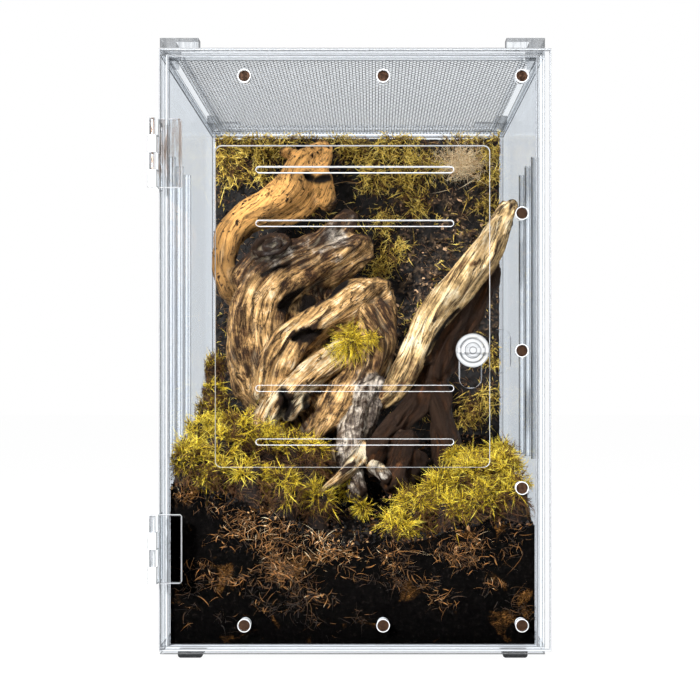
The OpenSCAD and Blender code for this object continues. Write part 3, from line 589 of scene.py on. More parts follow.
def driftwood(name, limbs, knots, hollows, weathered, voxel, relief):
    """Gnarled wood from limbs: each its points, ridge count, twist, age, paleness and roughness,
    the last three from 0 to 1. relief holds the depths of lumps, folds, fibres and pits."""
    lines = [Limb(*limb[:3]) for limb in limbs]
    rows = np.vstack([np.asarray(limb[0], float) for limb in limbs])
    low = (rows[:, :3] - rows[:, 3:] * 1.3).min(0) - 4
    high = (rows[:, :3] + rows[:, 3:] * 1.3).max(0) + 4
    field = WoodField(low, high, voxel)
    for limb, line in zip(limbs, lines):
        field.add_limb(limb[0], line, 2.0)
    for chain in knots:
        field.add_rod(chain, 3.0 if len(chain) == 2 else 0.8)
    for chain in hollows:
        field.cut_rod(curve(chain, 3))
    points, quads = field.surface()
    made = mesh_object(name, points * MM, [quads])
    normals = vertex_normals(made.data)
    edges = np.zeros(len(made.data.edges) * 2, np.int32)
    made.data.edges.foreach_get("vertices", edges)
    edges = edges.reshape(-1, 2)
    bpy.data.objects.remove(made)

    weights, fibres, folds, grains = [], [], [], []
    swirl = 6 * (np.stack([noise(points / 15, 40 + a) for a in range(3)], 1) - 0.5)
    for i, line in enumerate(lines):
        outside, grain = line.grain(points)
        weights.append(np.exp(-np.clip(outside, -4, 40) / 1.5))
        bent = grain + swirl
        folds.append(crease(fractal(bent / [40, 6, 6], 2, 3 + i)))
        fibres.append(fractal(bent / [15, 1.7, 1.7], 2, 60 + i))
        grains.append(grain)
    weights = np.array(weights)
    nearest = np.argmax(weights, axis=0)
    weights /= weights.sum(0)
    fold, fibre = (weights * folds).sum(0), (weights * fibres).sum(0)
    age, pale, rough = (
        (weights * np.array([[limb[k]] for limb in limbs])).sum(0) for k in (3, 4, 5)
    )
    for ball in weathered:
        gap = np.linalg.norm(points - ball[:3], axis=1) / ball[3]
        age = age + 0.5 * smooth(1.3 - gap)
    lumps = fractal(points / 17, 3, 9) - 0.5
    pits = smooth((fractal(points / 2.6, 2, 21) - 0.74) / 0.06) * (1 - np.clip(rough, 0, 1))
    lump_depth, fold_depth, fibre_depth, pit_depth = relief
    scaly = 1 - smooth(crease(fractal(points / 6, 3, 88)) / 0.3)
    rise = (
        lump_depth * 2 * lumps
        - fold_depth * rough * (1 - smooth(fold / 0.42))
        + fibre_depth * rough * (fibre - 0.5)
        - pit_depth * pits
        - 1.2 * np.clip(age - 0.4, 0, 1) * scaly
    )
    points = points + normals * rise[:, None]
    wide = relaxed(points, edges, 16)
    inward = np.sum((wide - points) * normals, axis=1)
    # Painted shade: 1 inside the carved hollows, where the finish colours the wood near-black.
    rotten = np.zeros(len(points))
    for chain in hollows:
        gap = rods_distance(points, np.asarray(chain, float))
        rotten = np.maximum(rotten, smooth((1.8 - gap) / 1.8))
    points[:, 1] = np.clip(points[:, 1], PLANT_FRONT, PLANT_BACK)
    points[:, 0] = np.clip(points[:, 0], -ROOM_X, ROOM_X)
    kept = {
        # Painted shade: the finish darkens the wood by cavity, in its creases as well as its pits.
        "cavity": np.clip(inward / (1.5 * voxel) + 0.6 * pits, 0, 1),
        # Painted highlight, besides real wear: the finish turns the crests cream by crown.
        "crown": np.clip(-inward / (1.8 * voxel), 0, 1),
        "grain": np.array(grains)[nearest, np.arange(len(points))],
        "fibre": fibre, "age": age, "pale": pale, "rotten": rotten, "rough": rough,
    }
    return mesh_object(name, place(points), [quads], kept)


# ---- Shader maths ----


class Value:
    """A shader socket. Python's + - * / ** on it add the Math nodes for that sum."""

    def __init__(self, finish, socket):
        self.finish = finish
        self.socket = socket

    def __add__(self, other):
        return self.finish.maths("ADD", self, other)

    __radd__ = __add__

    def __mul__(self, other):
        return self.finish.maths("MULTIPLY", self, other)

    __rmul__ = __mul__

    def __sub__(self, other):
        return self.finish.maths("SUBTRACT", self, other)

    def __rsub__(self, other):
        return self.finish.maths("SUBTRACT", other, self)

    def __truediv__(self, other):
        return self.finish.maths("DIVIDE", self, other)

    def __pow__(self, other):
        return self.finish.maths("POWER", self, other)

    def clamped(self):
        return self.finish.node("Clamp", {}, {"Value": self})

    def above(self, edge, width):
        """A soft step: 0 below edge - width and 1 above edge + width."""
        return self.finish.node(
            "MapRange", {"interpolation_type": "SMOOTHSTEP"},
            {"Value": self, "From Min": edge - width, "From Max": edge + width},
        )


class Finish:
    """A material being made from nodes."""

    def __init__(self, name):
        self.material = bpy.data.materials.new(name)
        self.material.use_nodes = True
        self.tree = self.material.node_tree
        self.tree.nodes.clear()

    def node(self, kind, settings, sockets, output=0):
        """Adds a node: its settings first, then the values or links of its sockets."""
        made = self.tree.nodes.new("ShaderNode" + kind)
        for name, value in settings.items():
            if name == "stops":
                self.set_stops(made.color_ramp, value)
            else:
                setattr(made, name, value)
        for name, value in sockets.items():
            if isinstance(value, Value):
                self.tree.links.new(value.socket, made.inputs[name])
            else:
                made.inputs[name].default_value = value
        return Value(self, made.outputs[output])

    @staticmethod
    def set_stops(ramp, stops):
        while len(ramp.elements) < len(stops):
            ramp.elements.new(1.0)
        for element, (position, colour) in zip(ramp.elements, stops):
            element.position = position
            element.color = (*colour[:3], 1.0)

    def maths(self, operation, a, b):
        return self.node("Math", {"operation": operation}, {0: a, 1: b})

    def mix(self, share, a, b, blend="MIX"):
        """A mix of two colours."""
        return self.node(
            "Mix", {"data_type": "RGBA", "blend_type": blend},
            {0: share, 6: solid(a), 7: solid(b)}, 2,
        )

    def ramp(self, share, stops):
        return self.node("ValToRGB", {"stops": stops}, {"Fac": share})

    def attribute(self, name, output="Fac"):
        return self.node("Attribute", {"attribute_name": name}, {}, output)

    def places(self):
        """Places on the object in the row frame."""
        return self.node("TexCoord", {}, {}, "Object")

    def scaled(self, vector, sizes):
        return self.node("VectorMath", {"operation": "MULTIPLY"}, {0: vector, 1: sizes})

    def noise(self, vector, scale, detail=3.0, roughness=0.5, distortion=0.0):
        return self.node(
            "TexNoise", {},
            {"Vector": vector, "Scale": scale, "Detail": detail, "Roughness": roughness,
             "Distortion": distortion},
        )

    def cells(self, vector, scale, feature="F1"):
        return self.node(
            "TexVoronoi", {"feature": feature}, {"Vector": vector, "Scale": scale}, "Distance"
        )

    def bump(self, height, strength, distance):
        return self.node(
            "Bump", {}, {"Height": height, "Strength": strength, "Distance": distance}
        )

    def mixed(self, share, a, b):
        """A mix of two shaders."""
        return self.node("MixShader", {}, {0: share, 1: a, 2: b})

    def surface(self, **sockets):
        """A Principled surface. Words in the sockets' names are joined by underscores."""
        named = {name.replace("_", " "): value for name, value in sockets.items()}
        return self.node("BsdfPrincipled", {}, named)

    def flow(self):
        """Fine upright streaks, as in moulded plastic."""
        return self.noise(self.scaled(self.places(), (1.0, 1.0, 0.12)), 300.0, 4.0, 0.7, 0.4)

    def dimmed(self, share, shader):
        """A clear shader that lets through only a share of its light."""
        return self.mixed(share, self.see_through(BLACK), shader)

    def see_through(self, colour):
        return self.node("BsdfTransparent", {}, {"Color": solid(colour)})

    def path(self, output):
        return self.node("LightPath", {}, {}, output)

    def done(self, shader):
        output = self.tree.nodes.new("ShaderNodeOutputMaterial")
        self.tree.links.new(shader.socket, output.inputs["Surface"])
        return self.material


def solid(colour):
    """A colour with its alpha, or the Value that it already is."""
    return colour if isinstance(colour, Value) else (*colour[:3], 1.0)


def times(share, colour):
    """A colour made darker or lighter."""
    return tuple(share * c for c in colour)


def seen(red, green, blue):
    """A linear colour from the 0 to 255 numbers that a screen shows."""
    return tuple(
        c / 12.92 if c <= 0.04045 else ((c + 0.055) / 1.055) ** 2.4
        for c in (red / 255, green / 255, blue / 255)
    )


def dress(obj, material):
    """Gives a whole object one material."""
    obj.data.materials.clear()
    obj.data.materials.append(material)


def dress_nodes(material, *names):
    for name in names:
        dress(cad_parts[name], material)


# ---- Sizes and colours that a user would change ----


def colour_property(name, description, colour):
    return bpy.props.FloatVectorProperty(
        name=name, description=description, default=colour, min=0, max=1, size=3, subtype="COLOR"
    )


def length_property(name, description, length, least, most):
    return bpy.props.FloatProperty(
        name=name, description=description, default=length, min=least, max=most, precision=5,
        unit="LENGTH", subtype="DISTANCE",
    )


def share_property(name, description, share):
    return bpy.props.FloatProperty(
        name=name, description=description, default=share, min=0, max=1, subtype="FACTOR"
    )


class ClearPlastic(bpy.types.PropertyGroup):
    """The acrylic of the case."""

    tint: colour_property("Panel tint", "What a panel lets through where it is seen flat on",
                          (0.985, 0.99, 0.995))
    slant_tint: colour_property("Slanted tint", "What a panel lets through at a low angle",
                                (0.82, 0.845, 0.87))
    edge: colour_property("Cut edge", "Colour of the sawn and polished edges", (0.93, 0.95, 0.97))
    # Painted refraction: the thin dark lines at the borders and cut edges.
    line: colour_property("Edge line", "Colour of the thin dark lines", (0.22, 0.23, 0.25))
    gloss: share_property("Gloss", "How strongly a panel mirrors at a low angle", 0.22)
    moulded: colour_property("Moulded parts", "Colour of the hinges and the knob",
                             (0.95, 0.965, 0.98))


class Weave(bpy.types.PropertyGroup):
    """The lid's steel mesh."""

    pitch: length_property("Wire pitch", "Distance from one wire to the next", 1.8 * MM, 0.5 * MM,
                           4 * MM)
    wire: length_property("Wire", "Diameter of a wire", 0.35 * MM, 0.1 * MM, 1 * MM)
    colour: colour_property("Wire colour", "Colour of the steel", (0.20, 0.21, 0.22))


class Wood(bpy.types.PropertyGroup):
    """The driftwood."""

    fineness: length_property("Fineness", "Size of a face of the wood", 0.85 * MM, 0.6 * MM, 3 * MM)
    fold: length_property("Fold depth", "Depth of the folds along the grain", 1.9 * MM, 0, 4 * MM)
    fibre: length_property("Fibre depth", "Depth of the open grain", 0.9 * MM, 0, 2 * MM)
    fresh: colour_property("Fresh wood", "Colour of the trunk's wood", seen(216, 168, 106))
    gold: colour_property("Golden wood", "Colour of the smooth wood", seen(222, 164, 92))
    # On the crests this cream is partly bleaching and partly a painted highlight.
    cream: colour_property("Bleached wood", "Colour of the worn crests", seen(250, 230, 190))
    brown: colour_property("Brown grain", "Colour of the dark grain", seen(84, 54, 30))
    grey: colour_property("Grey wood", "Colour of the weathered wood", seen(138, 132, 124))
    pale: colour_property("Pale wood", "Colour of the bare branch", seen(220, 182, 124))
    # Painted shade: the branch's underside and the legs below it take this dark colour for the
    # shade they lie in.
    underside_shade: colour_property("Shaded underside", "Colour of the branch's underside", seen(70, 42, 20))
    # Painted shade in the creases and hollows, as well as the wood's dark grain, pores and cracks.
    dark: colour_property("Dark wood", "Colour in the hollows", seen(40, 26, 16))


class Ground(bpy.types.PropertyGroup):
    """The soil and the bark."""

    soil: colour_property("Soil", "Colour of the soil", seen(15, 12, 10))
    root: colour_property("Roots", "Colour of the fibres in the soil", seen(190, 130, 66))
    bark: colour_property("Bark", "Colour of the bark flakes", seen(140, 112, 84))
    crumb: length_property("Crumb", "Size of a crumb of soil", 2.2 * MM, 0.5 * MM, 6 * MM)


class Moss(bpy.types.PropertyGroup):
    """The moss."""

    frond: length_property("Frond", "Length of a frond of the mounds", 9 * MM, 3 * MM, 15 * MM)
    width: length_property("Frond width", "Width of a frond", 0.48 * MM, 0.2 * MM, 2 * MM)
    tip: colour_property("Tips", "Colour of the frond's tips", seen(255, 238, 104))
    leaf: colour_property("Leaves", "Colour of the fronds", seen(236, 200, 36))
    root: colour_property("Dead fronds", "Colour of the brown fronds", seen(104, 66, 34))


GROUPS = {
    "terrarium_plastic": ClearPlastic, "terrarium_weave": Weave, "terrarium_wood": Wood,
    "terrarium_ground": Ground, "terrarium_moss": Moss,
}


# ---- Materials ----

BLACK = (0.0, 0.0, 0.0)


def acrylic(plastic, node, stripes, haze=1.0, mirrored=None):
    """Clear sheet for one panel. Its broad faces are polished and clear, with a painted dark
    refraction line along their borders. Its cut edges show stripes that run along the sheet: rows
    of place, shade and cover, a frosted edge with painted bands of refraction. haze is how much it
    greys at a low angle, and mirrored the colour of streaks that it mirrors."""
    low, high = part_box(node)
    sizes = high - low
    axis = list(sizes).index(min(sizes))
    f = Finish("clear_" + node)
    normal = f.node("TexCoord", {}, {}, "Normal")
    across_sheet = f.node("SeparateXYZ", {}, {"Vector": normal}, axis)
    flat = f.maths("ABSOLUTE", across_sheet, 0.0).above(0.9, 0.05)
    slant = f.node("LayerWeight", {}, {"Blend": 0.5}, "Facing")
    smears = f.noise(f.scaled(f.places(), (1.0, 1.0, 0.4)), 16.0, 4.0, 0.6, 0.5)
    clear = f.see_through(plastic.tint)
    slanted = f.see_through(plastic.slant_tint)
    pane = f.mixed((slant**3.0 * haze * (0.5 + smears)).clamped(), clear, slanted)
    mirror = f.node("BsdfGlossy", {}, {"Color": (0.9, 0.93, 0.96, 1), "Roughness": 0.03})
    pane = f.mixed((slant**5.0 * plastic.gloss).clamped(), pane, mirror)
    # Painted refraction: a thin dark line along each border of the broad faces.
    for side in {0, 1, 2} - {axis}:
        along = f.node("SeparateXYZ", {}, {"Vector": f.places()}, side)
        inwards = f.maths("MINIMUM", along - low[side], high[side] - along)
        rim = (1 - inwards.above(EDGE_LINE, 0.3 * EDGE_LINE)) * 0.8
        ground = f.surface(Base_Color=(0.5, 0.51, 0.53, 1), Roughness=0.3)
        pane = f.mixed(rim, pane, f.mixed(0.4, f.see_through(plastic.line), ground))
    if mirrored:
        flow = f.flow()
        pane = f.mixed(flow.above(0.56, 0.04) * 0.6, pane, f.see_through(mirrored))
    depth = (f.node("SeparateXYZ", {}, {"Vector": f.places()}, axis) - low[axis]) / sizes[axis]
    edge = tuple(plastic.edge)
    shade = f.ramp(depth, [(at, times(s, edge)) for at, s, _ in stripes])
    share = f.ramp(depth, [(at, (s, s, s)) for at, s, _ in stripes])
    cover = f.ramp(depth, [(at, (hides, hides, hides)) for at, _, hides in stripes])
    through = f.dimmed(share, f.see_through(edge))
    if node == "lid_panel":
        along = f.node("SeparateXYZ", {}, {"Vector": f.places()}, 0)
        teeth = f.maths("SINE", along * (TURN / LID_TEETH), 0.0).above(0.1, 0.5)
        row = depth.above(0.56, 0.04) * (1 - depth.above(0.80, 0.04))
        shade = f.mix(teeth * row, shade, plastic.line)
        through = f.mixed(teeth * row, through, f.see_through(plastic.line))
    sawn = f.surface(Base_Color=shade, Roughness=0.25, IOR=1.49, Specular_IOR_Level=0.4)
    cut = f.mixed(cover, through, sawn)
    return f.done(f.mixed(flat, cut, pane))


def clear_block(plastic, name, clarity, cloud, streaks=None, rings=None, rim=0.06):
    """Thick clear plastic, dark where it is seen at a low angle, down to rim. clarity is how much
    it lets through and cloud how milky it is. streaks is the share and colour of what it mirrors,
    and rings the middle and radius of turned rings."""
    f = Finish(name)
    slant = f.node("LayerWeight", {}, {"Blend": 0.5}, "Facing")
    colour = times(clarity, plastic.moulded)
    stops = [(0.0, 1.0), (0.40, 0.88), (0.70, 0.42 + 0.45 * rim), (0.92, rim)]
    shade = f.ramp(slant, [(at, times(s, colour)) for at, s in stops])
    through = f.dimmed(f.ramp(slant, [(at, (s, s, s)) for at, s in stops]), f.see_through(colour))
    if streaks:
        share, mirrored = streaks
        flow = f.flow()
        shown = flow.above(0.55, 0.05) * share
        shade = f.mix(shown, shade, mirrored)
        through = f.mixed(shown, through, f.see_through(mirrored))
    if rings:
        middle, radius = rings
        flat = f.scaled(f.places(), (1.0, 0.0, 1.0))
        away = f.node("VectorMath", {"operation": "DISTANCE"},
                      {0: flat, 1: (middle.x, 0.0, middle.z)}, "Value") / radius
        turned = [(0.0, 0.9), (0.16, 0.95), (0.20, 0.2), (0.26, 0.95), (0.42, 0.7), (0.46, 0.2),
                  (0.52, 1.0), (0.66, 0.8), (0.72, 0.25), (0.78, 1.0), (0.90, 0.9), (1.0, 0.45)]
        marks = f.ramp(away, [(at, (s, s, s)) for at, s in turned])
        shade = f.mix(0.9, shade, marks, "MULTIPLY")
        through = f.dimmed(0.1 + 0.9 * marks, through)
    milk = f.surface(Base_Color=shade, Roughness=0.3, IOR=1.47)
    body = f.mixed(cloud, through, milk)
    mirror = f.node("BsdfGlossy", {}, {"Color": (0.9, 0.92, 0.95, 1), "Roughness": 0.06})
    return f.done(f.mixed((slant**4.0 * 0.3).clamped(), body, mirror))


def coated_magnet():
    """Dark brown coated disc with fine wear."""
    f = Finish("magnet_coating")
    speckle = f.noise(f.places(), 900.0, 4.0)
    ramp = f.ramp(speckle, [(0.3, seen(50, 33, 22)), (0.7, seen(72, 48, 32))])
    return f.done(f.surface(
        Base_Color=ramp, Roughness=0.5 + 0.2 * speckle, Specular_IOR_Level=0.12,
        Normal=f.bump(speckle, 0.15, 0.0002),
    ))


def bright_steel(name, colour, rough):
    f = Finish(name)
    streaks = f.noise(f.scaled(f.places(), (1.0, 1.0, 12.0)), 260.0, 4.0)
    ramp = f.ramp(streaks, [(0.3, times(0.82, colour)), (0.7, colour)])
    return f.done(f.surface(
        Base_Color=ramp, Metallic=1.0, Roughness=rough + 0.15 * streaks,
        Normal=f.bump(streaks, 0.1, 0.0001),
    ))


def white_nylon():
    f = Finish("white_nylon")
    grain = f.noise(f.places(), 1200.0, 3.0)
    ramp = f.ramp(grain, [(0.3, (0.78, 0.78, 0.75)), (0.7, (0.9, 0.9, 0.88))])
    return f.done(f.surface(
        Base_Color=ramp, Roughness=0.45 + 0.1 * grain, Normal=f.bump(grain, 0.1, 0.0002),
    ))


def wood_finish(wood, name, brown, fresh, cream):
    """Weathered wood, with the grain along each limb. brown, fresh and cream are the colours of its
    grain, its body and its worn crests; on the crests the cream is partly a painted highlight. The
    finish also paints shade in the creases and hollows."""
    f = Finish(name)
    grain = f.attribute("grain", "Vector")
    cavity, crown, rotten = f.attribute("cavity"), f.attribute("crown"), f.attribute("rotten")
    age, pale, fibre = f.attribute("age"), f.attribute("pale"), f.attribute("fibre")
    places = f.places()
    broad = f.noise(places, 34.0, 3.0, 0.55, 0.5)
    cloud = f.noise(places, 110.0, 5.0, 0.62, 0.3)
    lines = f.noise(f.scaled(grain, (0.04, 1.0, 1.0)), 0.9, 6.0, 0.7, 0.25)
    hair = f.noise(f.scaled(grain, (0.06, 1.0, 1.0)), 3.4, 4.0, 0.7)
    fleck = f.noise(places, 480.0, 4.0, 0.66)
    pores = f.cells(places, 300.0)
    tone = 0.26 * broad + 0.22 * cloud + 0.30 * lines + 0.08 * hair + 0.05 * fibre + 0.09 * fleck
    tone = (5.6 * tone - 2.36 + 0.45 * (pale - 0.3)).clamped()
    dark = tuple(wood.dark)
    rich = times(0.42, fresh)
    body = f.ramp(tone, [(0.0, dark), (0.14, brown), (0.36, rich), (0.62, fresh), (0.92, cream)])
    gold = tuple(wood.gold)
    polished = [(0.0, times(0.2, gold)), (0.22, times(0.55, gold)), (0.58, gold),
                (1.0, times(1.3, gold))]
    height = f.node("SeparateXYZ", {}, {"Vector": places}, "Z")
    # Painted shade: the smooth wood darkens towards its lower bend.
    raised = ((height / MM - BEND_LOW) / BEND_RISE).clamped()
    smooth_wood = f.ramp(tone * (0.16 + 0.84 * raised), polished)
    body = f.mix(f.attribute("rough").above(0.45, 0.15), smooth_wood, body)
    grey = tuple(wood.grey)
    slate = (grey[0] * 0.30, grey[1] * 0.30, grey[2] * 0.34)
    silver = tuple(min(1.0, 2.3 * c) for c in grey)
    mottle = (0.5 * tone + 2.2 * cloud + 0.8 * fleck - 1.25).clamped()
    old = f.ramp(mottle, [(0.05, times(0.22, slate)), (0.35, slate), (0.6, grey), (0.92, silver)])
    greyed = (age * 1.1 + 1.8 * cloud - 1.1).above(0.46, 0.22) * 0.85
    colour = f.mix(greyed, body, old)
    # Partly worn, bleached crests and partly a painted highlight: the crowns turn cream.
    colour = f.mix((crown * 0.4).clamped(), colour, cream)
    split = f.noise(f.scaled(grain, (0.028, 1.0, 1.0)), 0.34, 4.0, 0.6, 0.2)
    split = 1 - f.maths("ABSOLUTE", split - 0.5, 0.0).above(0.014, 0.008)
    speck = (1 - pores.above(0.11, 0.05)) * cloud.above(0.58, 0.05)
    marks = (0.8 * speck + 0.5 * fleck.above(0.70, 0.04) + 0.9 * split).clamped()
    colour = f.mix(marks, colour, dark)
    # Painted shade: darker in the creases, by the cavity attribute, which also marks the real pits.
    colour = f.mix((cavity * 1.6).clamped(), colour, dark)
    # Painted shade: near-black inside the hollows.
    colour = f.mix(rotten, colour, times(0.25, dark))
    relief = 0.5 * lines + 0.45 * hair + 0.3 * fleck - 0.5 * speck - 0.8 * split
    return f.done(f.surface(
        Base_Color=colour, Roughness=0.6 + 0.3 * cavity, Specular_IOR_Level=0.14,
        Normal=f.bump(relief, 1.0, 0.0016),
    ))


def tinted(name, stops, rough, bump_scale, sheen=0.0):
    """A rough finish whose colour follows each piece's own tint."""
    f = Finish(name)
    tint = f.attribute("tint")
    mottle = f.noise(f.places(), bump_scale, 3.0, 0.6)
    share = (tint + 0.3 * (mottle - 0.5)).clamped()
    return f.done(f.surface(
        Base_Color=f.ramp(share, stops), Roughness=rough + 0.1 * mottle,
        Specular_IOR_Level=0.3, Sheen_Weight=sheen, Normal=f.bump(mottle, 0.4, 0.0006),
    ))


def moss_finish(moss, name, bleached):
    """Moss from dead and brown to fresh. bleached is how far its tips have gone pale."""
    root, leaf, tip = tuple(moss.root), tuple(moss.leaf), tuple(moss.tip)
    # deep is painted shade: the near-black green of the fronds' bases.
    deep = times(0.13, leaf)
    pale = tuple(a + bleached * (b - a) for a, b in zip(tip, seen(255, 232, 150)))
    ripe = tuple(a + bleached * (b - a) for a, b in zip(leaf, seen(236, 198, 100)))
    return tinted(
        name, [(0.0, times(0.15, root)), (0.18, root), (0.30, deep), (0.52, ripe),
               (0.92, pale)], 0.6, 900.0,
    )


def soil_finish(ground, name):
    """Dark moist soil with a few brown patches."""
    f = Finish(name)
    places = f.places()
    crumbs = f.noise(places, 420.0, 5.0, 0.65)
    patch = f.noise(places, 55.0, 4.0, 0.6, 0.6)
    threads = f.noise(f.scaled(places, (1.0, 1.0, 2.0)), 300.0, 4.0, 0.7, 3.0)
    soil, root = tuple(ground.soil), tuple(ground.root)
    base = f.ramp(crumbs, [(0.35, times(0.1, soil)), (0.58, times(0.4, soil)),
                           (0.72, times(2.5, soil))])
    brown = f.ramp(threads, [(0.44, times(0.02, root)), (0.58, times(0.18, root)),
                             (0.70, times(0.8, root))])
    colour = f.mix(patch.above(0.63, 0.05), base, brown)
    return f.done(f.surface(
        Base_Color=colour, Roughness=0.9, Specular_IOR_Level=0.03,
        Normal=f.bump(crumbs, 0.8, 0.002),
    ))


# ---- Pieces ----


LID_TEETH = 2.3 * MM
EDGE_LINE = 0.45 * MM
# Stripes across a sheet's thickness, as place, shade and cover: a frosted cut edge with painted
# light and dark bands of refraction.
CRISP_EDGE = [(0.0, 0.3, 0.7), (0.10, 0.3, 0.7), (0.16, 1.0, 0.95), (0.80, 1.0, 0.95),
              (0.88, 0.35, 0.6), (1.0, 0.35, 0.6)]
WALL_EDGE = [(0.0, 0.12, 0.9), (0.09, 0.12, 0.9), (0.15, 0.8, 0.12), (0.36, 0.85, 0.12),
             (0.42, 1.0, 0.35), (0.52, 1.0, 0.35), (0.60, 0.62, 0.2), (0.72, 0.72, 0.12),
             (0.80, 1.0, 0.3), (0.88, 1.0, 0.3), (0.93, 0.2, 0.8), (1.0, 0.2, 0.8)]
SHEETS = {
    # panel: stripes on its cut edges, how much it greys at a low angle
    "base_panel": (WALL_EDGE, 1.0), "lid_panel": (WALL_EDGE, 0.3), "left_wall": (WALL_EDGE, 1.0),
    "right_wall": (WALL_EDGE, 1.0), "back_wall": (CRISP_EDGE, 1.0),
    "front_frame": (CRISP_EDGE, 1.0), "door_panel": (CRISP_EDGE, 1.0),
    "latch_tab": (CRISP_EDGE, 1.0), "strike_plate": (CRISP_EDGE, 1.0),
}


def build_panels(plastic):
    """Finishes for the clear sheets of the case, the door, the lid and the latch."""
    for node, (stripes, haze) in SHEETS.items():
        dress_nodes(acrylic(plastic, node, stripes, haze), node)


def magnet_middles():
    """The middles of the door's magnets, in metres."""
    corners = np.array([corner.co[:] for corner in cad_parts["door_magnets"].data.vertices])
    middles = []
    while len(corners):
        near = np.linalg.norm((corners - corners[0])[:, [0, 2]], axis=1) < 12 * MM
        middles.append((corners[near].min(0) + corners[near].max(0)) / 2)
        corners = corners[~near]
    return middles


def door_rims(name, outlines, material):
    """Flat rims, painted highlights, that stand a little out of the door's face. outlines are pairs
    of inner and outer outlines, as rows of x and z in metres."""
    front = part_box("door_panel")[0].y
    points, faces, start = [], [], 0
    for inner, outer in outlines:
        around = len(inner)
        for outline, rise in ((inner, 0.0), (outer, 0.0), (outer, RIM_RISE), (inner, RIM_RISE)):
            points.append(np.insert(outline, 1, front - rise, axis=1))
        for side in range(4):
            a = start + side * around + np.arange(around)
            b = start + (side + 1) % 4 * around + np.arange(around)
            faces.append(np.stack([a, np.roll(a, -1), np.roll(b, -1), b], 1))
        start += 4 * around
    rims = mesh_object(name, np.vstack(points), [np.vstack(faces)])
    dress(rims, material)
    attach(rims, "door")


def build_magnet_rims(plastic):
    """A painted highlight: the bright rim of the bore round each magnet."""
    turns = TURN * np.arange(32) / 32
    circle = np.stack([np.cos(turns), np.sin(turns)], 1)
    outlines = [[middle[[0, 2]] + radius * circle for radius in MAGNET_RIM]
                for middle in magnet_middles()]
    door_rims("magnet_rims", outlines, clear_block(plastic, "bore_rim", 1.0, 0.6))


def build_slot_rims(plastic):
    """A painted highlight: the bright rim of each vent slot in the door."""
    radius, steps = DOOR_SLOT_W * MM / 2, 9
    turns = np.linspace(-TURN / 4, TURN / 4, steps)
    turns = np.concatenate([turns, turns + TURN / 2])
    circle = np.stack([np.cos(turns), np.sin(turns)], 1)
    ends = np.repeat([1.0, -1.0], steps) * (DOOR_SLOT_L * MM / 2 - radius)
    middles = [np.stack([SLOT_MIDDLE_X * MM + ends, ends * 0 + height * MM], 1)
               for height in DOOR_SLOTS_H]
    outlines = [[middle + reach * circle for reach in (radius, radius + SLOT_RIM)]
                for middle in middles]
    door_rims("slot_rims", outlines, clear_block(plastic, "slot_rim", 1.0, 0.55))


def build_fittings(plastic):
    """Finishes for the hinges, latch, magnets, feet, corners and locating blocks."""
    low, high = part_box("latch_knob")
    rings = ((low + high) / 2, (high.x - low.x) / 2)
    grey = (0.45, 0.47, 0.5)
    dress_nodes(clear_block(plastic, "clear_corner", 0.98, 0.04, (0.4, grey)), "stacking_corners")
    dress_nodes(clear_block(plastic, "clear_locator", 1.0, 0.02, rim=0.75), "lid_locators")
    dress_nodes(clear_block(plastic, "clear_foot", 0.22, 0.15), "feet")
    for leaf in ("side_leaf", "door_leaf"):
        lower, upper = "lower_hinge_" + leaf, "upper_hinge_" + leaf
        dress_nodes(acrylic(plastic, lower, CRISP_EDGE), lower)
        dress_nodes(acrylic(plastic, upper, CRISP_EDGE, 1.0, seen(170, 128, 88)), upper)
    dress_nodes(clear_block(plastic, "turned_knob", 0.97, 0.34, None, rings), "latch_knob",
                "latch_spindle")
    dress_nodes(coated_magnet(), "frame_magnets", "door_magnets")
    dress_nodes(bright_steel("bright_steel", (0.8, 0.81, 0.83), 0.15), "upper_hinge_pin",
                "lower_hinge_pin", "latch_screw")
    dress_nodes(white_nylon(), "latch_bush")
    build_magnet_rims(plastic)
    build_slot_rims(plastic)


def build_lid_mesh(weave):
    """The woven wire mesh under the lid's window."""
    low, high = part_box("lid_mesh")
    pitch, wire = weave.pitch, weave.wire
    sides = 3
    points, faces, start = [], [], 0
    for axis in (0, 1):
        other = 1 - axis
        count = int((high[other] - low[other] - wire) / pitch)
        knots = int((high[axis] - low[axis]) / pitch)
        along = np.linspace(low[axis], high[axis], knots + 1)
        for i in range(count + 1):
            across_at = low[other] + wire / 2 + i * pitch
            wave = wire / 2 * np.where((np.arange(knots + 1) + i + axis) % 2 == 0, 1.0, -1.0)
            ring = np.zeros((knots + 1, sides, 3))
            for k in range(sides):
                turn = TURN * k / sides + TURN / 4
                ring[:, k, axis] = along
                ring[:, k, other] = across_at + wire / 2 * math.cos(turn)
                ring[:, k, 2] = (low.z + high.z) / 2 + wave + wire / 2 * math.sin(turn)
            points.append(ring.reshape(-1, 3))
            a = (np.arange(knots)[:, None] * sides + np.arange(sides)[None]).ravel()
            b = (np.arange(knots)[:, None] * sides + (np.arange(sides)[None] + 1) % sides).ravel()
            quads = np.stack([a, b, b + sides, a + sides], axis=1)
            faces.append((quads if axis == 0 else quads[:, ::-1]) + start)
            start += (knots + 1) * sides
    made = mesh_object("woven_mesh", np.vstack(points), [np.vstack(faces)])
    dress(made, bright_steel("mesh_wire", tuple(weave.colour), 0.4))
    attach(made, "lid")
    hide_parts("lid_mesh")


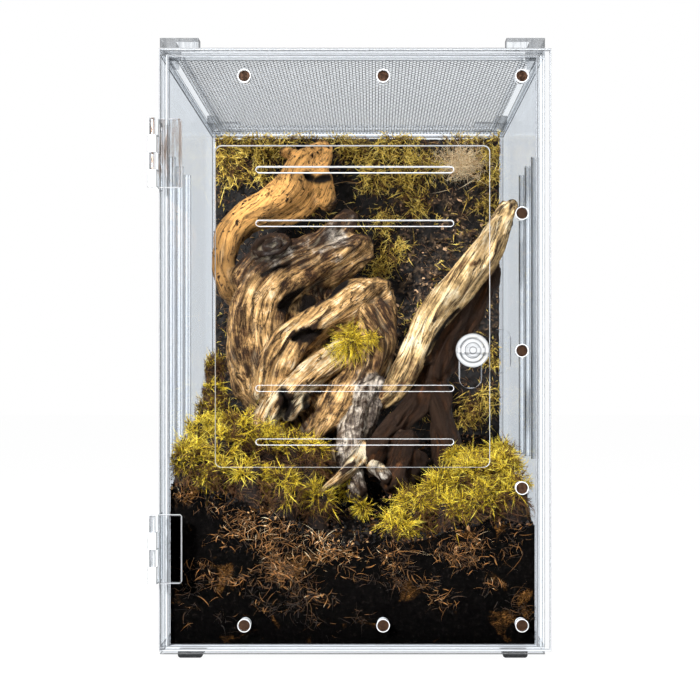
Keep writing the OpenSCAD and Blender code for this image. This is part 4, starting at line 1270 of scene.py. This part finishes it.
def grid_block(rows, columns, top_of, low_of):
    """A closed block over a grid of two shares from 0 to 1. top_of and low_of give the places of
    the shaped side and of the flat side, in millimetres."""
    a, b = np.meshgrid(np.linspace(0, 1, columns), np.linspace(0, 1, rows))
    top, low = top_of(a, b).reshape(-1, 3), low_of(a, b).reshape(-1, 3)
    index = np.arange(rows * columns).reshape(rows, columns)
    squares = np.stack([index[:-1, :-1], index[:-1, 1:], index[1:, 1:], index[1:, :-1]], -1)
    squares = squares.reshape(-1, 4)
    rim = np.concatenate([index[0, :], index[1:, -1], index[-1, -2::-1], index[-2::-1, 0]])
    under = len(top)
    walls = np.stack([rim[:-1], rim[:-1] + under, rim[1:] + under, rim[1:]], -1)
    return place(np.vstack([top, low])), [squares, squares[:, ::-1] + under, walls]


def bark_relief(x, height):
    """How far scales of bark stand out of the backdrop, in millimetres, and their shade."""
    flat = np.stack([x, height], -1)
    solid_flat = np.stack([x, height, x * 0], -1)
    warp = np.stack([fractal(solid_flat / 6 + 50 * k, 4, 70) for k in range(2)], -1) - 0.5
    near, far, own = cells((flat + 22 * warp) / [7.5, 5.0], 3)
    crack = smooth((far - near) / 0.12)
    _, _, fine_own = cells((flat + 12 * warp) / 2.2, 9)
    grain = fractal(solid_flat / 1.5, 3, 12)
    tilt = np.sin(20 * own + x / 2.5) * 0.5
    barky = bark_share(x, height)
    scale = crack * (0.2 + 0.8 * own + 0.25 * tilt)
    rise = barky * (2.6 * scale + 1.4 * fine_own) + 2.8 * (grain - 0.5) - 1.6 * barky
    shade = barky * (0.05 + 0.95 * crack) * (0.26 * own + 0.34 * fine_own**2)
    return rise, np.clip(shade + 0.6 * (grain - 0.5), 0, 1)


def bark_share(x, height):
    """1 where bare bark shows on the backdrop, down to a little where moss and shade cover it."""
    ragged = 14 * (noise(np.stack([x, height, x * 0], -1) / 12, 6) - 0.5)
    right = smooth((x + ragged - 8) / 22) * smooth((height + ragged - 150) / 25)
    return 0.22 + 0.78 * right * (1 - smooth((height + ragged - 268) / 16))


def build_backdrop(ground):
    """The bark panel at the back, with flakes of bark on it."""
    rng = np.random.default_rng(11)

    def spread_of(a, b):
        return (2 * a - 1) * ROOM_X, SHEET + b * (BACKDROP_TOP - SHEET)

    def face(a, b):
        x, height = spread_of(a, b)
        return np.stack([x, bark_at(x, height) - bark_relief(x, height)[0], height], -1)

    def back(a, b):
        x, height = spread_of(a, b)
        return np.stack([x, x * 0 + PLANT_BACK, height], -1)

    columns, rows = 200, 300
    points, faces = grid_block(rows, columns, face, back)
    a, b = np.meshgrid(np.linspace(0, 1, columns), np.linspace(0, 1, rows))
    shade = bark_relief(*spread_of(a, b))[1].ravel()
    behind = 0.25 + 0.35 * fractal(points[len(shade):] / (4 * MM), 4, 31)
    panel = mesh_object("bark_panel", points, faces, {"tint": np.concatenate([shade, behind])})
    bark = tuple(ground.bark)
    stops = [(0.0, seen(8, 6, 5)), (0.22, seen(20, 15, 12)), (0.45, times(0.25, bark)),
             (0.70, bark), (1.0, tuple(min(1, 2.6 * c) for c in bark))]
    material = tinted("rough_bark", stops, 0.75, 620.0)
    dress(panel, material)

    count = 6500
    x = rng.uniform(-ROOM_X, ROOM_X, count)
    height = rng.uniform(95, BACKDROP_TOP - 2, count)
    share = bark_share(x, height)
    keep = rng.uniform(size=count) < 0.25 + 0.75 * share
    x, height, share = x[keep], height[keep], share[keep]
    count = len(x)
    centre = np.stack([x, bark_at(x, height) - bark_relief(x, height)[0] - 0.3, height], 1)
    normals = unit(np.array([0, -0.6, 0.2]) + rng.normal(0, 0.6, (count, 3)))
    flakes = chips(
        "bark_flakes", centre, normals, rng.gamma(3, 0.7, count), rng.uniform(0.4, 1.2, count),
        (0.05 + 0.95 * rng.uniform(0, 1, count) ** 2) * (0.45 + 0.55 * share), rng,
    )
    dress(flakes, material)
    for piece in (panel, flakes):
        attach(piece, "case")
    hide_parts("backdrop_panel")
    build_backdrop_twigs(rng)


def build_backdrop_twigs(rng):
    """Loose twigs and fibres that hang in the bark, and a pale clump at its top right."""
    count, clump = 2600, 1500
    x = np.concatenate([rng.uniform(-ROOM_X, ROOM_X, count), rng.normal(70, 8, clump)])
    height = np.concatenate([rng.uniform(100, BACKDROP_TOP - 3, count), rng.normal(291, 5, clump)])
    x = np.clip(x, -ROOM_X + 1, ROOM_X - 1)
    height = np.minimum(height, BACKDROP_TOP - 1)
    out = np.concatenate([rng.uniform(0.5, 3.5, count), rng.uniform(1, 7, clump)])
    roots = np.stack([x, bark_at(x, height) - out, height], 1)
    total = count + clump
    aims = unit(np.stack([rng.normal(0, 1, total), rng.normal(-0.25, 0.3, total),
                          rng.normal(0, 1, total)], 1))
    bends = rng.normal(0, 0.7, (total, 3)) * [1, 0.3, 1]
    tints = np.concatenate([rng.uniform(0.1, 1, count) ** 1.5, rng.uniform(1.1, 2.2, clump)])
    twigs = strands(
        "bark_fibres", roots, aims, bends, rng.gamma(4, 1.1, total), rng.uniform(0.25, 0.6, total),
        tints, rng,
    )
    dress(twigs, tinted(
        "fibre", [(0.0, seen(26, 18, 12)), (0.35, seen(96, 60, 32)), (0.7, seen(206, 160, 100)),
                  (1.0, seen(255, 236, 196))], 0.7, 800.0,
    ))
    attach(twigs, "case")


def knot_loop(share):
    """A raised ring round the old knot, as places along it. share is its size, up to 1."""
    centre, lean = (-52, 119.5, 227), math.radians(14)
    wide, high, rod = 10.5 * share, 5.6 * share, 0.7 + 0.8 * share
    turns = np.linspace(0, TURN, 17)
    run, rise = wide * np.cos(turns), high * np.sin(turns)
    x = centre[0] + run * math.cos(lean) - rise * math.sin(lean)
    height = centre[2] + run * math.sin(lean) + rise * math.cos(lean)
    return np.stack([x, turns * 0 + centre[1], height, turns * 0 + rod], axis=1)


def build_soil(ground):
    """The soil with its crumbs and the roots that show at its sides."""
    rng = np.random.default_rng(23)
    inset = 0.5

    def spread(a, b):
        depth = PLANT_FRONT + inset + b * (BACKDROP_FRONT + 4 - PLANT_FRONT - inset)
        return (2 * a - 1) * (ROOM_X - inset), depth

    def top(a, b):
        x, depth = spread(a, b)
        flat = np.stack([x, depth, x * 0], -1)
        rough = fractal(flat / 7, 4, 51) - 0.5
        return np.stack([x, depth, soil_at(x, depth) - 1.5 + 6 * rough], -1)

    def under(a, b):
        x, depth = spread(a, b)
        return np.stack([x, depth, x * 0 + SHEET + 0.05], -1)

    points, faces = grid_block(110, 120, top, under)
    soil = mesh_object("soil", points, faces)
    dress(soil, soil_finish(ground, "moist_soil"))
    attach(soil, "case")
    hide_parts("substrate")

    count = 5200
    x = rng.uniform(-ROOM_X, ROOM_X, count)
    depth = PLANT_FRONT + rng.uniform(0, 1, count) ** 1.4 * (BACKDROP_FRONT - PLANT_FRONT)
    centre = np.stack([x, depth, soil_at(x, depth) - 1 + rng.normal(0, 1, count)], 1)
    crumbs = chips(
        "soil_crumbs", centre, unit(rng.normal(0, 1, (count, 3))),
        rng.gamma(4, ground.crumb / MM / 5, count), rng.uniform(0.8, 2.0, count),
        rng.uniform(0, 1, count) ** 4, rng,
    )
    dress(crumbs, tinted(
        "crumb", [(0.0, times(0.5, ground.soil)), (0.45, seen(44, 32, 24)),
                  (0.8, seen(120, 82, 48)), (1.0, seen(190, 150, 100))], 0.85, 700.0,
    ))
    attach(crumbs, "case")
    build_soil_roots(ground, rng)


def side_of_case(side, along, inwards):
    """x and depth of places by the case's wall: 0 is the front, 1 the left and 2 the right."""
    run = along * 2 - 1
    middle = (PLANT_FRONT + BACKDROP_FRONT) / 2
    half = (BACKDROP_FRONT - PLANT_FRONT) / 2
    x = np.select([side == 0, side == 1], [run * ROOM_X, -ROOM_X + inwards], ROOM_X - inwards)
    depth = np.where(side == 0, PLANT_FRONT + inwards, middle + run * half)
    return x, depth


def build_soil_roots(ground, rng):
    """Bundles of roots and coconut fibre, pressed against the front and the side walls."""
    bundles = 130
    side = rng.choice(3, bundles, p=[0.62, 0.19, 0.19])
    along = rng.uniform(0.02, 0.98, bundles)
    x, depth = side_of_case(side, along, np.full(bundles, 0.3))
    height = SHEET + 3 + rng.uniform(0, 1, bundles) ** 0.5 * (soil_at(x, depth) - SHEET - 5)
    slope = rng.normal(0.25, 0.8, bundles)
    size = rng.gamma(0.9, 26.0, bundles).astype(int) + 3
    reach = 1.5 + 0.07 * size
    clumps = np.asarray(SOIL_CLUMPS, float)
    picked = np.arange(len(clumps))
    side[picked], x[picked], height[picked] = 0, clumps[:, 0], clumps[:, 1]
    reach[picked], size[picked] = clumps[:, 2], clumps[:, 3]
    owner = np.repeat(np.arange(bundles), size)
    count = len(owner)
    spread = rng.normal(0, 1, (count, 2)) * reach[owner][:, None]
    angle = slope[owner] + rng.normal(0, 0.55, count)
    run = np.cos(angle) * np.where(rng.uniform(size=count) < 0.5, 1, -1)
    rise = np.sin(angle)
    inwards = rng.uniform(0.05, 0.6, count)
    at_front = side[owner] == 0
    roots_x = np.where(at_front, x[owner] + spread[:, 0], x[owner])
    roots_y = np.where(at_front, PLANT_FRONT + inwards, depth[owner] + spread[:, 0])
    roots_x = np.where(side[owner] == 1, -ROOM_X + inwards, roots_x)
    roots_x = np.where(side[owner] == 2, ROOM_X - inwards, roots_x)
    roots_z = np.clip(height[owner] + 0.6 * spread[:, 1], SHEET + 1, None)
    roots = np.stack([roots_x, roots_y, roots_z], 1)
    keep = roots_z < soil_at(roots_x, roots_y) + 1
    flat = np.where(at_front[:, None], [1.0, 0.0, 0.0], [0.0, 1.0, 0.0])
    aims = unit(flat * run[:, None] + np.array([0, 0, 1.0]) * rise[:, None])
    square = unit(flat * -rise[:, None] + np.array([0, 0, 1.0]) * run[:, None])
    bends = square * rng.normal(0, 0.9, (count, 1))
    high = (height - SHEET) / (soil_at(x, depth) - SHEET)
    warm = rng.uniform(-0.3, 0.3, bundles) + 0.7 * (high - 0.6)
    warm[picked] = clumps[:, 4]
    tints = np.clip(rng.beta(0.9, 1.5, count) + warm[owner], 0.05, 1.6)
    fibres = strands(
        "soil_roots", roots[keep], aims[keep], bends[keep], rng.gamma(4, 0.85, count)[keep],
        rng.gamma(4, 0.11, count)[keep], tints[keep], rng, rings=4, flatness=0.25,
    )
    root = tuple(ground.root)
    dress(fibres, tinted(
        "soil_root", [(0.0, seen(16, 12, 9)), (0.25, times(0.12, root)), (0.50, times(0.6, root)),
                      (0.75, root), (1.0, seen(252, 232, 190))], 0.65, 900.0,
    ))
    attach(fibres, "case")


def build_trunk(wood):
    """The gnarled trunk, with its folds, hollows and open grain."""
    limbs = [
        # points, ridges, twist, age, paleness, roughness
        (UPPER_LIMB, 3, 0.01, 0.0, 0.42, 0.3), (CREST_LIMB, 3, 0.02, 0.35, -0.5, 0.6),
        (MAIN_LIMB, 4, 0.012, 0.2, 0.15, 0.9), (LOBE_LIMB, 4, 0.015, 0.25, 0.5, 0.8),
        (STRAND_LIMB, 3, 0.015, 0.15, 0.95, 0.8), (ROOT_LIMB, 4, 0.02, 0.1, 0.1, 0.9),
        (BARK_ROOT, 4, 0.02, 1.0, 0.6, 0.5), (CLAW_ROOT, 3, 0.02, 0.35, 1.0, 0.7),
        (CORE_LIMB, 4, 0.01, 0.3, -0.4, 1.0),
    ]
    trunk = driftwood(
        "driftwood", limbs, TRUNK_BURLS + [knot_loop(1.0), knot_loop(0.5)], TRUNK_HOLLOWS,
        WEATHERED, wood.fineness / MM, (1.5, wood.fold / MM, wood.fibre / MM, 1.0),
    )
    dress(trunk, wood_finish(wood, "weathered_wood", tuple(wood.brown), tuple(wood.fresh),
                             tuple(wood.cream)))
    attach(trunk, "case")
    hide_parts("driftwood_trunk")


def build_branch(wood):
    """The pale split branch that leans to the right, and its underside, whose dark wood is painted
    shade.
    """
    fine = wood.fineness / MM
    pale = driftwood(
        "pale_branch", [(PALE_LIMB, 3, 0.01, 0.0, 0.45, 1.0)], BRANCH_KNOTS[:2], BRANCH_HOLLOWS,
        [], fine, (0.6, 0.6 * wood.fold / MM, wood.fibre / MM, 0.0),
    )
    dress(pale, wood_finish(wood, "bare_wood", times(2.2, wood.brown), tuple(wood.pale),
                            tuple(wood.cream)))
    dark = driftwood(
        "dark_branch", [(DARK_LIMB, 3, 0.02, 0.0, 0.1, 1.2), (LEG_LIMB, 3, 0.01, 0.0, 0.0, 1.2)],
        BRANCH_KNOTS[2:], [], [], fine, (2.2, 1.2 * wood.fold / MM, wood.fibre / MM, 0.5),
    )
    # Painted shade: the dark branch is a shaded copy of the branch's wood.
    underside_shade = tuple(wood.underside_shade)
    dress(dark, wood_finish(wood, "shaded_wood", times(0.2, underside_shade), times(0.6, underside_shade),
                            times(2.2, underside_shade)))
    for piece in (pale, dark):
        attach(piece, "case")
    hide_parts("driftwood_branch")


def cushion_clumps(mounds, count, rng):
    """Places of clumps on the outside of a group of mounds, the way each faces and how low it lies
    on its mound, from -1 to 1, and more at the back, where the moss is dry. Low clumps are darker:
    partly dead moss, partly painted shade on the undersides."""
    mounds = np.asarray(mounds, float)
    owner = rng.choice(len(mounds), count, p=mounds[:, 3] ** 2 / np.sum(mounds[:, 3] ** 2))
    way = unit(rng.normal(0, 1, (count, 3)) + [0, -0.6, 0.5])
    centre, radius = mounds[owner, :3], mounds[owner, 3]
    roots = centre + way * (radius * rng.uniform(0.72, 0.95, count))[:, None]
    buried = np.zeros(count, bool)
    for mound in mounds:
        buried |= np.linalg.norm(roots - mound[:3], axis=1) < 0.70 * mound[3]
    roots[:, 1] = np.maximum(roots[:, 1], PLANT_FRONT + 1.5)
    keep = ~buried & (roots[:, 2] > soil_at(roots[:, 0], roots[:, 1]) - 2)
    low = -way[:, 2] + 0.8 * (roots[:, 1] > DRY_DEPTH)
    return roots[keep], way[keep], low[keep]


def starred(roots, ways, low, each, length, rng):
    """Fronds that fan out of clumps: their roots, aims, bends, lengths and tints."""
    clumps = len(roots)
    owner = np.repeat(np.arange(clumps), each)
    count = len(owner)
    lean = rng.normal(0, 0.45, (clumps, 3)) + [0, -0.1, 0.4]
    way = unit(ways + lean)[owner]
    fan = unit(rng.normal(0, 1, (count, 3))) * rng.uniform(0.2, 1.2, (count, 1))
    aims = unit(way + fan)
    bends = 0.5 * (aims - way) + rng.normal(0, 0.3, (count, 3)) + [0, 0, -0.25]
    # Painted shade, besides dead moss: clumps low on a mound are more often dead and less fresh.
    dead_clump = rng.uniform(size=clumps) < 0.2 + 0.6 * smooth((low + 0.35) / 0.7)
    fresh = rng.normal(0.72, 0.22, clumps) - 0.2 * smooth(low / 0.6)
    fresh[dead_clump] = rng.uniform(0.12, 0.3, dead_clump.sum())
    tints = np.clip(fresh[owner] + rng.normal(0, 0.10, count), 0.08, 1)
    dead = rng.uniform(size=count) < 0.10
    tints[dead] = rng.uniform(0.1, 0.3, dead.sum())
    lengths = length * rng.uniform(0.6, 1.25, clumps)[owner] * rng.uniform(0.5, 1.1, count)
    return roots[owner] + rng.normal(0, 0.8, (count, 3)), aims, bends, lengths, tints


def moss_cushion(name, mounds, moss, material, bed, rng, node):
    """Star-shaped clumps of feathery fronds over a near-black bed that fills the mounds, painted
    shade between the fronds, and brown fibres that hang below them."""
    clumps = cushion_clumps(mounds, 470, rng)
    roots, aims, bends, lengths, tints = starred(*clumps, 14, moss.frond / MM, rng)
    rows = np.asarray(mounds, float)
    count = 90 * len(rows)
    owner = rows[rng.integers(0, len(rows), count)]
    drop = rng.uniform(-0.2, 1.3, count)
    skirt = owner[:, :3] + np.stack([owner[:, 3] * rng.normal(0, 0.7, count),
                                     -owner[:, 3] * rng.uniform(0.2, 1.2, count),
                                     -owner[:, 3] * drop], 1)
    skirt[:, 1] = np.maximum(skirt[:, 1], PLANT_FRONT + 0.4)
    hang = unit(rng.normal(0, 1, (count, 3)) * [1, 0.15, 0.8] + [0, 0, -0.3])
    roots, aims = np.vstack([roots, skirt]), np.vstack([aims, hang])
    bends = np.vstack([bends, rng.normal(0, 0.7, (count, 3)) * [1, 0.2, 1]])
    lengths = np.concatenate([lengths, rng.gamma(4, 1.4, count)])
    tints = np.concatenate([tints, rng.uniform(0.08, 0.42, count)])
    widths = moss.width / MM * rng.uniform(0.6, 1.3, len(roots))
    fronds = feathered(name + "_fronds", roots, aims, bends, lengths, widths, tints, rng, 4)
    field = WoodField((rows[:, :3] - rows[:, 3:] * 1.2).min(0) - [3, 3, 18],
                      (rows[:, :3] + rows[:, 3:]).max(0) + 3, 1.6)
    for row in rows:
        shrunk = row[3] * 0.8
        field.add_rod([[*row[:3], shrunk], [row[0], row[1], row[2] - 14, shrunk]], 2.0)
    points, quads = field.surface()
    points[:, 1] = np.clip(points[:, 1], PLANT_FRONT + 0.3, PLANT_BACK)
    points[:, 0] = np.clip(points[:, 0], -ROOM_X + 0.2, ROOM_X - 0.2)
    points[:, 2] = np.clip(points[:, 2], SHEET + 1, None)
    jitter = fractal(points / 3, 2, 66)
    body = mesh_object(name + "_body", place(points), [quads], {"tint": 0.02 + 0.2 * jitter})
    for piece, finish in ((fronds[0], material), (fronds[1], material), (body, bed)):
        dress(piece, finish)
        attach(piece, "case")
    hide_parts(node)


def build_moss(moss):
    """Moss mounds, the moss on the bark and the tufts on the wood."""
    material = moss_finish(moss, "moss", 0.0)
    rng = np.random.default_rng(5)
    root = tuple(moss.root)
    # Painted shade: the bed's near-black stands for the shade in the gaps between the fronds.
    bed = tinted("moss_bed", [(0.0, seen(10, 8, 6)), (0.5, times(0.25, root)), (1.0, root)],
                 0.8, 500.0)
    moss_cushion("left_moss", LEFT_MOUNDS, moss, material, bed, rng, "moss_left_mound")
    moss_cushion("right_moss", RIGHT_MOUNDS, moss, material, bed, rng, "moss_right_mound")
    build_tufts(moss, material, rng)
    build_bark_moss(moss, moss_finish(moss, "bark_moss", 0.6), rng)


def build_tufts(moss, material, rng):
    """Star-like tufts on the trunk and on the soil."""
    rows = np.asarray(TUFT_PLACES + SOIL_TUFTS, float)
    count = 1100
    owner = rng.choice(len(rows), count, p=rows[:, 3] ** 2 / np.sum(rows[:, 3] ** 2))
    way = unit(rng.normal(0, 1, (count, 3)) * [1, 0.6, 1] + [0, -0.7, 0.25])
    roots = rows[owner, :3] + way * (rows[owner, 3] * rng.uniform(0.1, 0.6, count))[:, None]
    aims = unit(way + rng.normal(0, 0.35, way.shape))
    bends = rng.normal(0, 0.35, way.shape) + [0, 0, -0.4]
    tints = np.clip(rng.normal(0.68, 0.2, count), 0.1, 1)
    lengths = rows[owner, 3] * rng.uniform(0.4, 1.15, count)
    tufts = feathered("moss_tuft_fronds", roots, aims, bends, lengths,
                      moss.width / MM * rng.uniform(0.6, 1.3, count), tints, rng, 5)
    for piece in tufts:
        dress(piece, material)
        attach(piece, "case")
    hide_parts("moss_tufts")


def build_bark_moss(moss, material, rng):
    """Sparse fronds over the bark, dense on its pads and along its top edge."""
    pads = np.asarray(BACKDROP_PADS, float)
    dense, loose, fringe = 4600, 3000, 900
    owner = rng.choice(len(pads), dense, p=pads[:, 2] ** 2 / np.sum(pads[:, 2] ** 2))
    x = np.concatenate([pads[owner, 0] + rng.normal(0, 0.55, dense) * pads[owner, 2],
                        rng.uniform(-ROOM_X, ROOM_X, loose + fringe)])
    height = np.concatenate([pads[owner, 1] + rng.normal(0, 0.55, dense) * pads[owner, 2],
                             rng.uniform(105, BACKDROP_TOP - 2, loose),
                             BACKDROP_TOP - 6 + 6 * rng.uniform(0, 1, fringe) ** 0.6])
    x = np.clip(x, -ROOM_X + 0.5, ROOM_X - 0.5)
    height = np.minimum(height, BACKDROP_TOP + rng.uniform(-1, 1, len(height)))
    group = np.repeat([0, 1, 2], [dense, loose, fringe])
    patch = noise(np.stack([x / 11, x * 0, height / 11], 1), 44)
    keep = (group == 0) | ((group == 1) & (patch > 0.52)) | ((group == 2) & (patch > 0.34))
    x, height, group = x[keep], height[keep], group[keep]
    count = len(x)
    puff = rng.uniform(0.3, 1, count) * np.where(group == 1, 4.0, 8.0)
    roots = np.stack([x, bark_at(x, height) - puff, height], 1)
    clump = unit(np.stack([noise(roots / 5, 190 + a) for a in range(3)], 1) - 0.5)
    lift = np.where(group == 2, 0.9, 0.15)[:, None] * [0, 0, 1]
    aims = unit(clump + [0, -0.5, 0] + lift + rng.normal(0, 0.55, (count, 3)))
    bends = rng.normal(0, 0.6, (count, 3)) + [0, 0, -0.25]
    shade = noise(roots / 7, 45)
    tints = np.clip(rng.normal(0.72, 0.18, count) + 0.9 * (shade - 0.5), 0.1, 1)
    dead = rng.uniform(size=count) < 0.22
    tints[dead] = rng.uniform(0.1, 0.3, dead.sum())
    lengths = rng.uniform(2.5, 7.0, count)
    fronds = feathered("bark_moss_fronds", roots, aims, bends, lengths,
                       moss.width / MM * rng.uniform(1.0, 1.8, count), tints, rng, 3)
    for piece in fronds:
        dress(piece, material)
        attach(piece, "case")
    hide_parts("moss_backdrop")


# ---- Stage ----

LOOK = {
    "place": (12.5 * MM, -711.7 * MM, 140.9 * MM),
    "lens": 61.1,
    "shift_x": -0.0343,
    "shift_y": 0.057,
}
LAMPS = [
    # name, place, size, watts
    ("key", (-0.62, -1.05, 0.68), 0.16, 38.0),
    ("fill", (0.95, -0.85, 0.35), 0.9, 3.0),
    ("top", (0.05, -0.15, 1.15), 0.5, 12.0),
]
AIM = (0.0, 0.0, 0.16)
WORLD_FILL = 0.22


def build_floor():
    """A pale floor that takes the object's shadow."""
    half = 6.0
    points = np.array([[-half, -half, 0], [half, -half, 0], [half, half, 0], [-half, half, 0]])
    floor = mesh_object("studio_floor", points - [0, 0, 0.0002], [np.array([[0, 1, 2, 3]])])
    f = Finish("pale_floor")
    grain = f.noise(f.places(), 30.0, 3.0)
    paper = f.surface(
        Base_Color=f.ramp(grain, [(0.0, (0.80, 0.80, 0.80)), (1.0, (0.84, 0.84, 0.84))]),
        Roughness=0.9, Specular_IOR_Level=0.1,
    )
    white = f.node("Emission", {}, {"Color": (1, 1, 1, 1), "Strength": 1.03})
    seen_bare = f.maths("MAXIMUM", f.path("Is Camera Ray"), f.path("Is Transmission Ray"))
    seen_bare = f.maths("MAXIMUM", seen_bare, f.path("Is Glossy Ray"))
    dress(floor, f.done(f.mixed(0.95 * seen_bare, paper, white)))


def build_world():
    """White where it is seen, and softer where it lights the object."""
    world = bpy.data.worlds.new("studio")
    bpy.context.scene.world = world
    world.use_nodes = True
    tree = world.node_tree
    tree.nodes.clear()
    path = tree.nodes.new("ShaderNodeLightPath")
    seen_bare = path.outputs["Is Camera Ray"]
    for name in ("Is Glossy Ray", "Is Transmission Ray"):
        either = tree.nodes.new("ShaderNodeMath")
        either.operation = "MAXIMUM"
        tree.links.new(seen_bare, either.inputs[0])
        tree.links.new(path.outputs[name], either.inputs[1])
        seen_bare = either.outputs[0]
    strength = tree.nodes.new("ShaderNodeMapRange")
    strength.inputs["To Min"].default_value = WORLD_FILL
    strength.inputs["To Max"].default_value = 1.0
    tree.links.new(seen_bare, strength.inputs["Value"])
    background = tree.nodes.new("ShaderNodeBackground")
    background.inputs["Color"].default_value = (1, 1, 1, 1)
    tree.links.new(strength.outputs[0], background.inputs["Strength"])
    output = tree.nodes.new("ShaderNodeOutputWorld")
    tree.links.new(background.outputs[0], output.inputs["Surface"])


def build_lamps():
    for name, where, size, watts in LAMPS:
        light = bpy.data.lights.new(name, "AREA")
        light.shape = "DISK"
        light.size = size
        light.energy = watts
        lamp = bpy.data.objects.new(name, light)
        lamp.location = where
        lamp.rotation_euler = (Vector(AIM) - Vector(where)).to_track_quat("-Z", "Y").to_euler()
        bpy.context.scene.collection.objects.link(lamp)


def build_camera():
    """The photograph's view: level and square to the door, with the frame shifted a little."""
    data = bpy.data.cameras.new("camera")
    data.lens = LOOK["lens"]
    data.shift_x = LOOK["shift_x"]
    data.shift_y = LOOK["shift_y"]
    data.clip_start = 0.01
    camera = bpy.data.objects.new("camera", data)
    camera.location = LOOK["place"]
    camera.rotation_euler = (math.radians(90), 0, 0)
    bpy.context.scene.collection.objects.link(camera)
    bpy.context.scene.camera = camera


# ---- Operators ----


class TERRARIUM_OT_panels(bpy.types.Operator):
    """Give the sheets of the case, door and lid their clear finish"""

    bl_idname = "terrarium.panels"
    bl_label = "Clear Panels"

    def execute(self, context):
        build_panels(context.scene.terrarium_plastic)
        return {"FINISHED"}


class TERRARIUM_OT_fittings(bpy.types.Operator):
    """Give the hinges, latch, magnets, feet and corners their finishes"""

    bl_idname = "terrarium.fittings"
    bl_label = "Fittings"

    def execute(self, context):
        build_fittings(context.scene.terrarium_plastic)
        return {"FINISHED"}


class TERRARIUM_OT_lid_mesh(bpy.types.Operator):
    """Weave the steel mesh of the lid"""

    bl_idname = "terrarium.lid_mesh"
    bl_label = "Lid Mesh"

    def execute(self, context):
        build_lid_mesh(context.scene.terrarium_weave)
        return {"FINISHED"}


class TERRARIUM_OT_backdrop(bpy.types.Operator):
    """Build the bark backdrop with its flakes and fibres"""

    bl_idname = "terrarium.backdrop"
    bl_label = "Bark Backdrop"

    def execute(self, context):
        build_backdrop(context.scene.terrarium_ground)
        return {"FINISHED"}


class TERRARIUM_OT_soil(bpy.types.Operator):
    """Fill in the soil with its crumbs and roots"""

    bl_idname = "terrarium.soil"
    bl_label = "Soil"

    def execute(self, context):
        build_soil(context.scene.terrarium_ground)
        return {"FINISHED"}


class TERRARIUM_OT_trunk(bpy.types.Operator):
    """Grow the gnarled driftwood trunk"""

    bl_idname = "terrarium.trunk"
    bl_label = "Driftwood Trunk"

    def execute(self, context):
        build_trunk(context.scene.terrarium_wood)
        return {"FINISHED"}


class TERRARIUM_OT_branch(bpy.types.Operator):
    """Grow the pale branch"""

    bl_idname = "terrarium.branch"
    bl_label = "Pale Branch"

    def execute(self, context):
        build_branch(context.scene.terrarium_wood)
        return {"FINISHED"}


class TERRARIUM_OT_moss(bpy.types.Operator):
    """Plant the moss mounds, the moss on the bark and the tufts"""

    bl_idname = "terrarium.moss"
    bl_label = "Moss"

    def execute(self, context):
        build_moss(context.scene.terrarium_moss)
        return {"FINISHED"}


class TERRARIUM_OT_stage(bpy.types.Operator):
    """Set up the floor, the lamps, the world and the camera"""

    bl_idname = "terrarium.stage"
    bl_label = "Studio"

    def execute(self, context):
        context.scene.view_settings.view_transform = "Standard"
        build_floor()
        build_world()
        build_lamps()
        build_camera()
        return {"FINISHED"}


PIECES = (
    TERRARIUM_OT_stage, TERRARIUM_OT_panels, TERRARIUM_OT_fittings, TERRARIUM_OT_lid_mesh,
    TERRARIUM_OT_backdrop, TERRARIUM_OT_soil, TERRARIUM_OT_trunk, TERRARIUM_OT_branch,
    TERRARIUM_OT_moss,
)


class TERRARIUM_PT_sidebar(bpy.types.Panel):
    """Lists the pieces of the terrarium, with their sizes and colours"""

    bl_idname = "TERRARIUM_PT_sidebar"
    bl_label = "Reptile Terrarium"
    bl_space_type = "VIEW_3D"
    bl_region_type = "UI"
    bl_category = "Terrarium"

    def draw(self, context):
        for piece in PIECES:
            self.layout.operator(piece.bl_idname)
        for key, group in GROUPS.items():
            box = self.layout.box()
            box.label(text=group.__doc__)
            for name in group.__annotations__:
                box.prop(getattr(context.scene, key), name)


CLASSES = (*GROUPS.values(), *PIECES, TERRARIUM_PT_sidebar)


def register():
    for cls in CLASSES:
        bpy.utils.register_class(cls)
    for key, group in GROUPS.items():
        setattr(bpy.types.Scene, key, bpy.props.PointerProperty(type=group))


def unregister():
    for key in GROUPS:
        delattr(bpy.types.Scene, key)
    for cls in reversed(CLASSES):
        bpy.utils.unregister_class(cls)


def main():
    register()
    for piece in PIECES:
        family, name = piece.bl_idname.split(".")
        getattr(getattr(bpy.ops, family), name)()


if __name__ == "__main__":
    main()
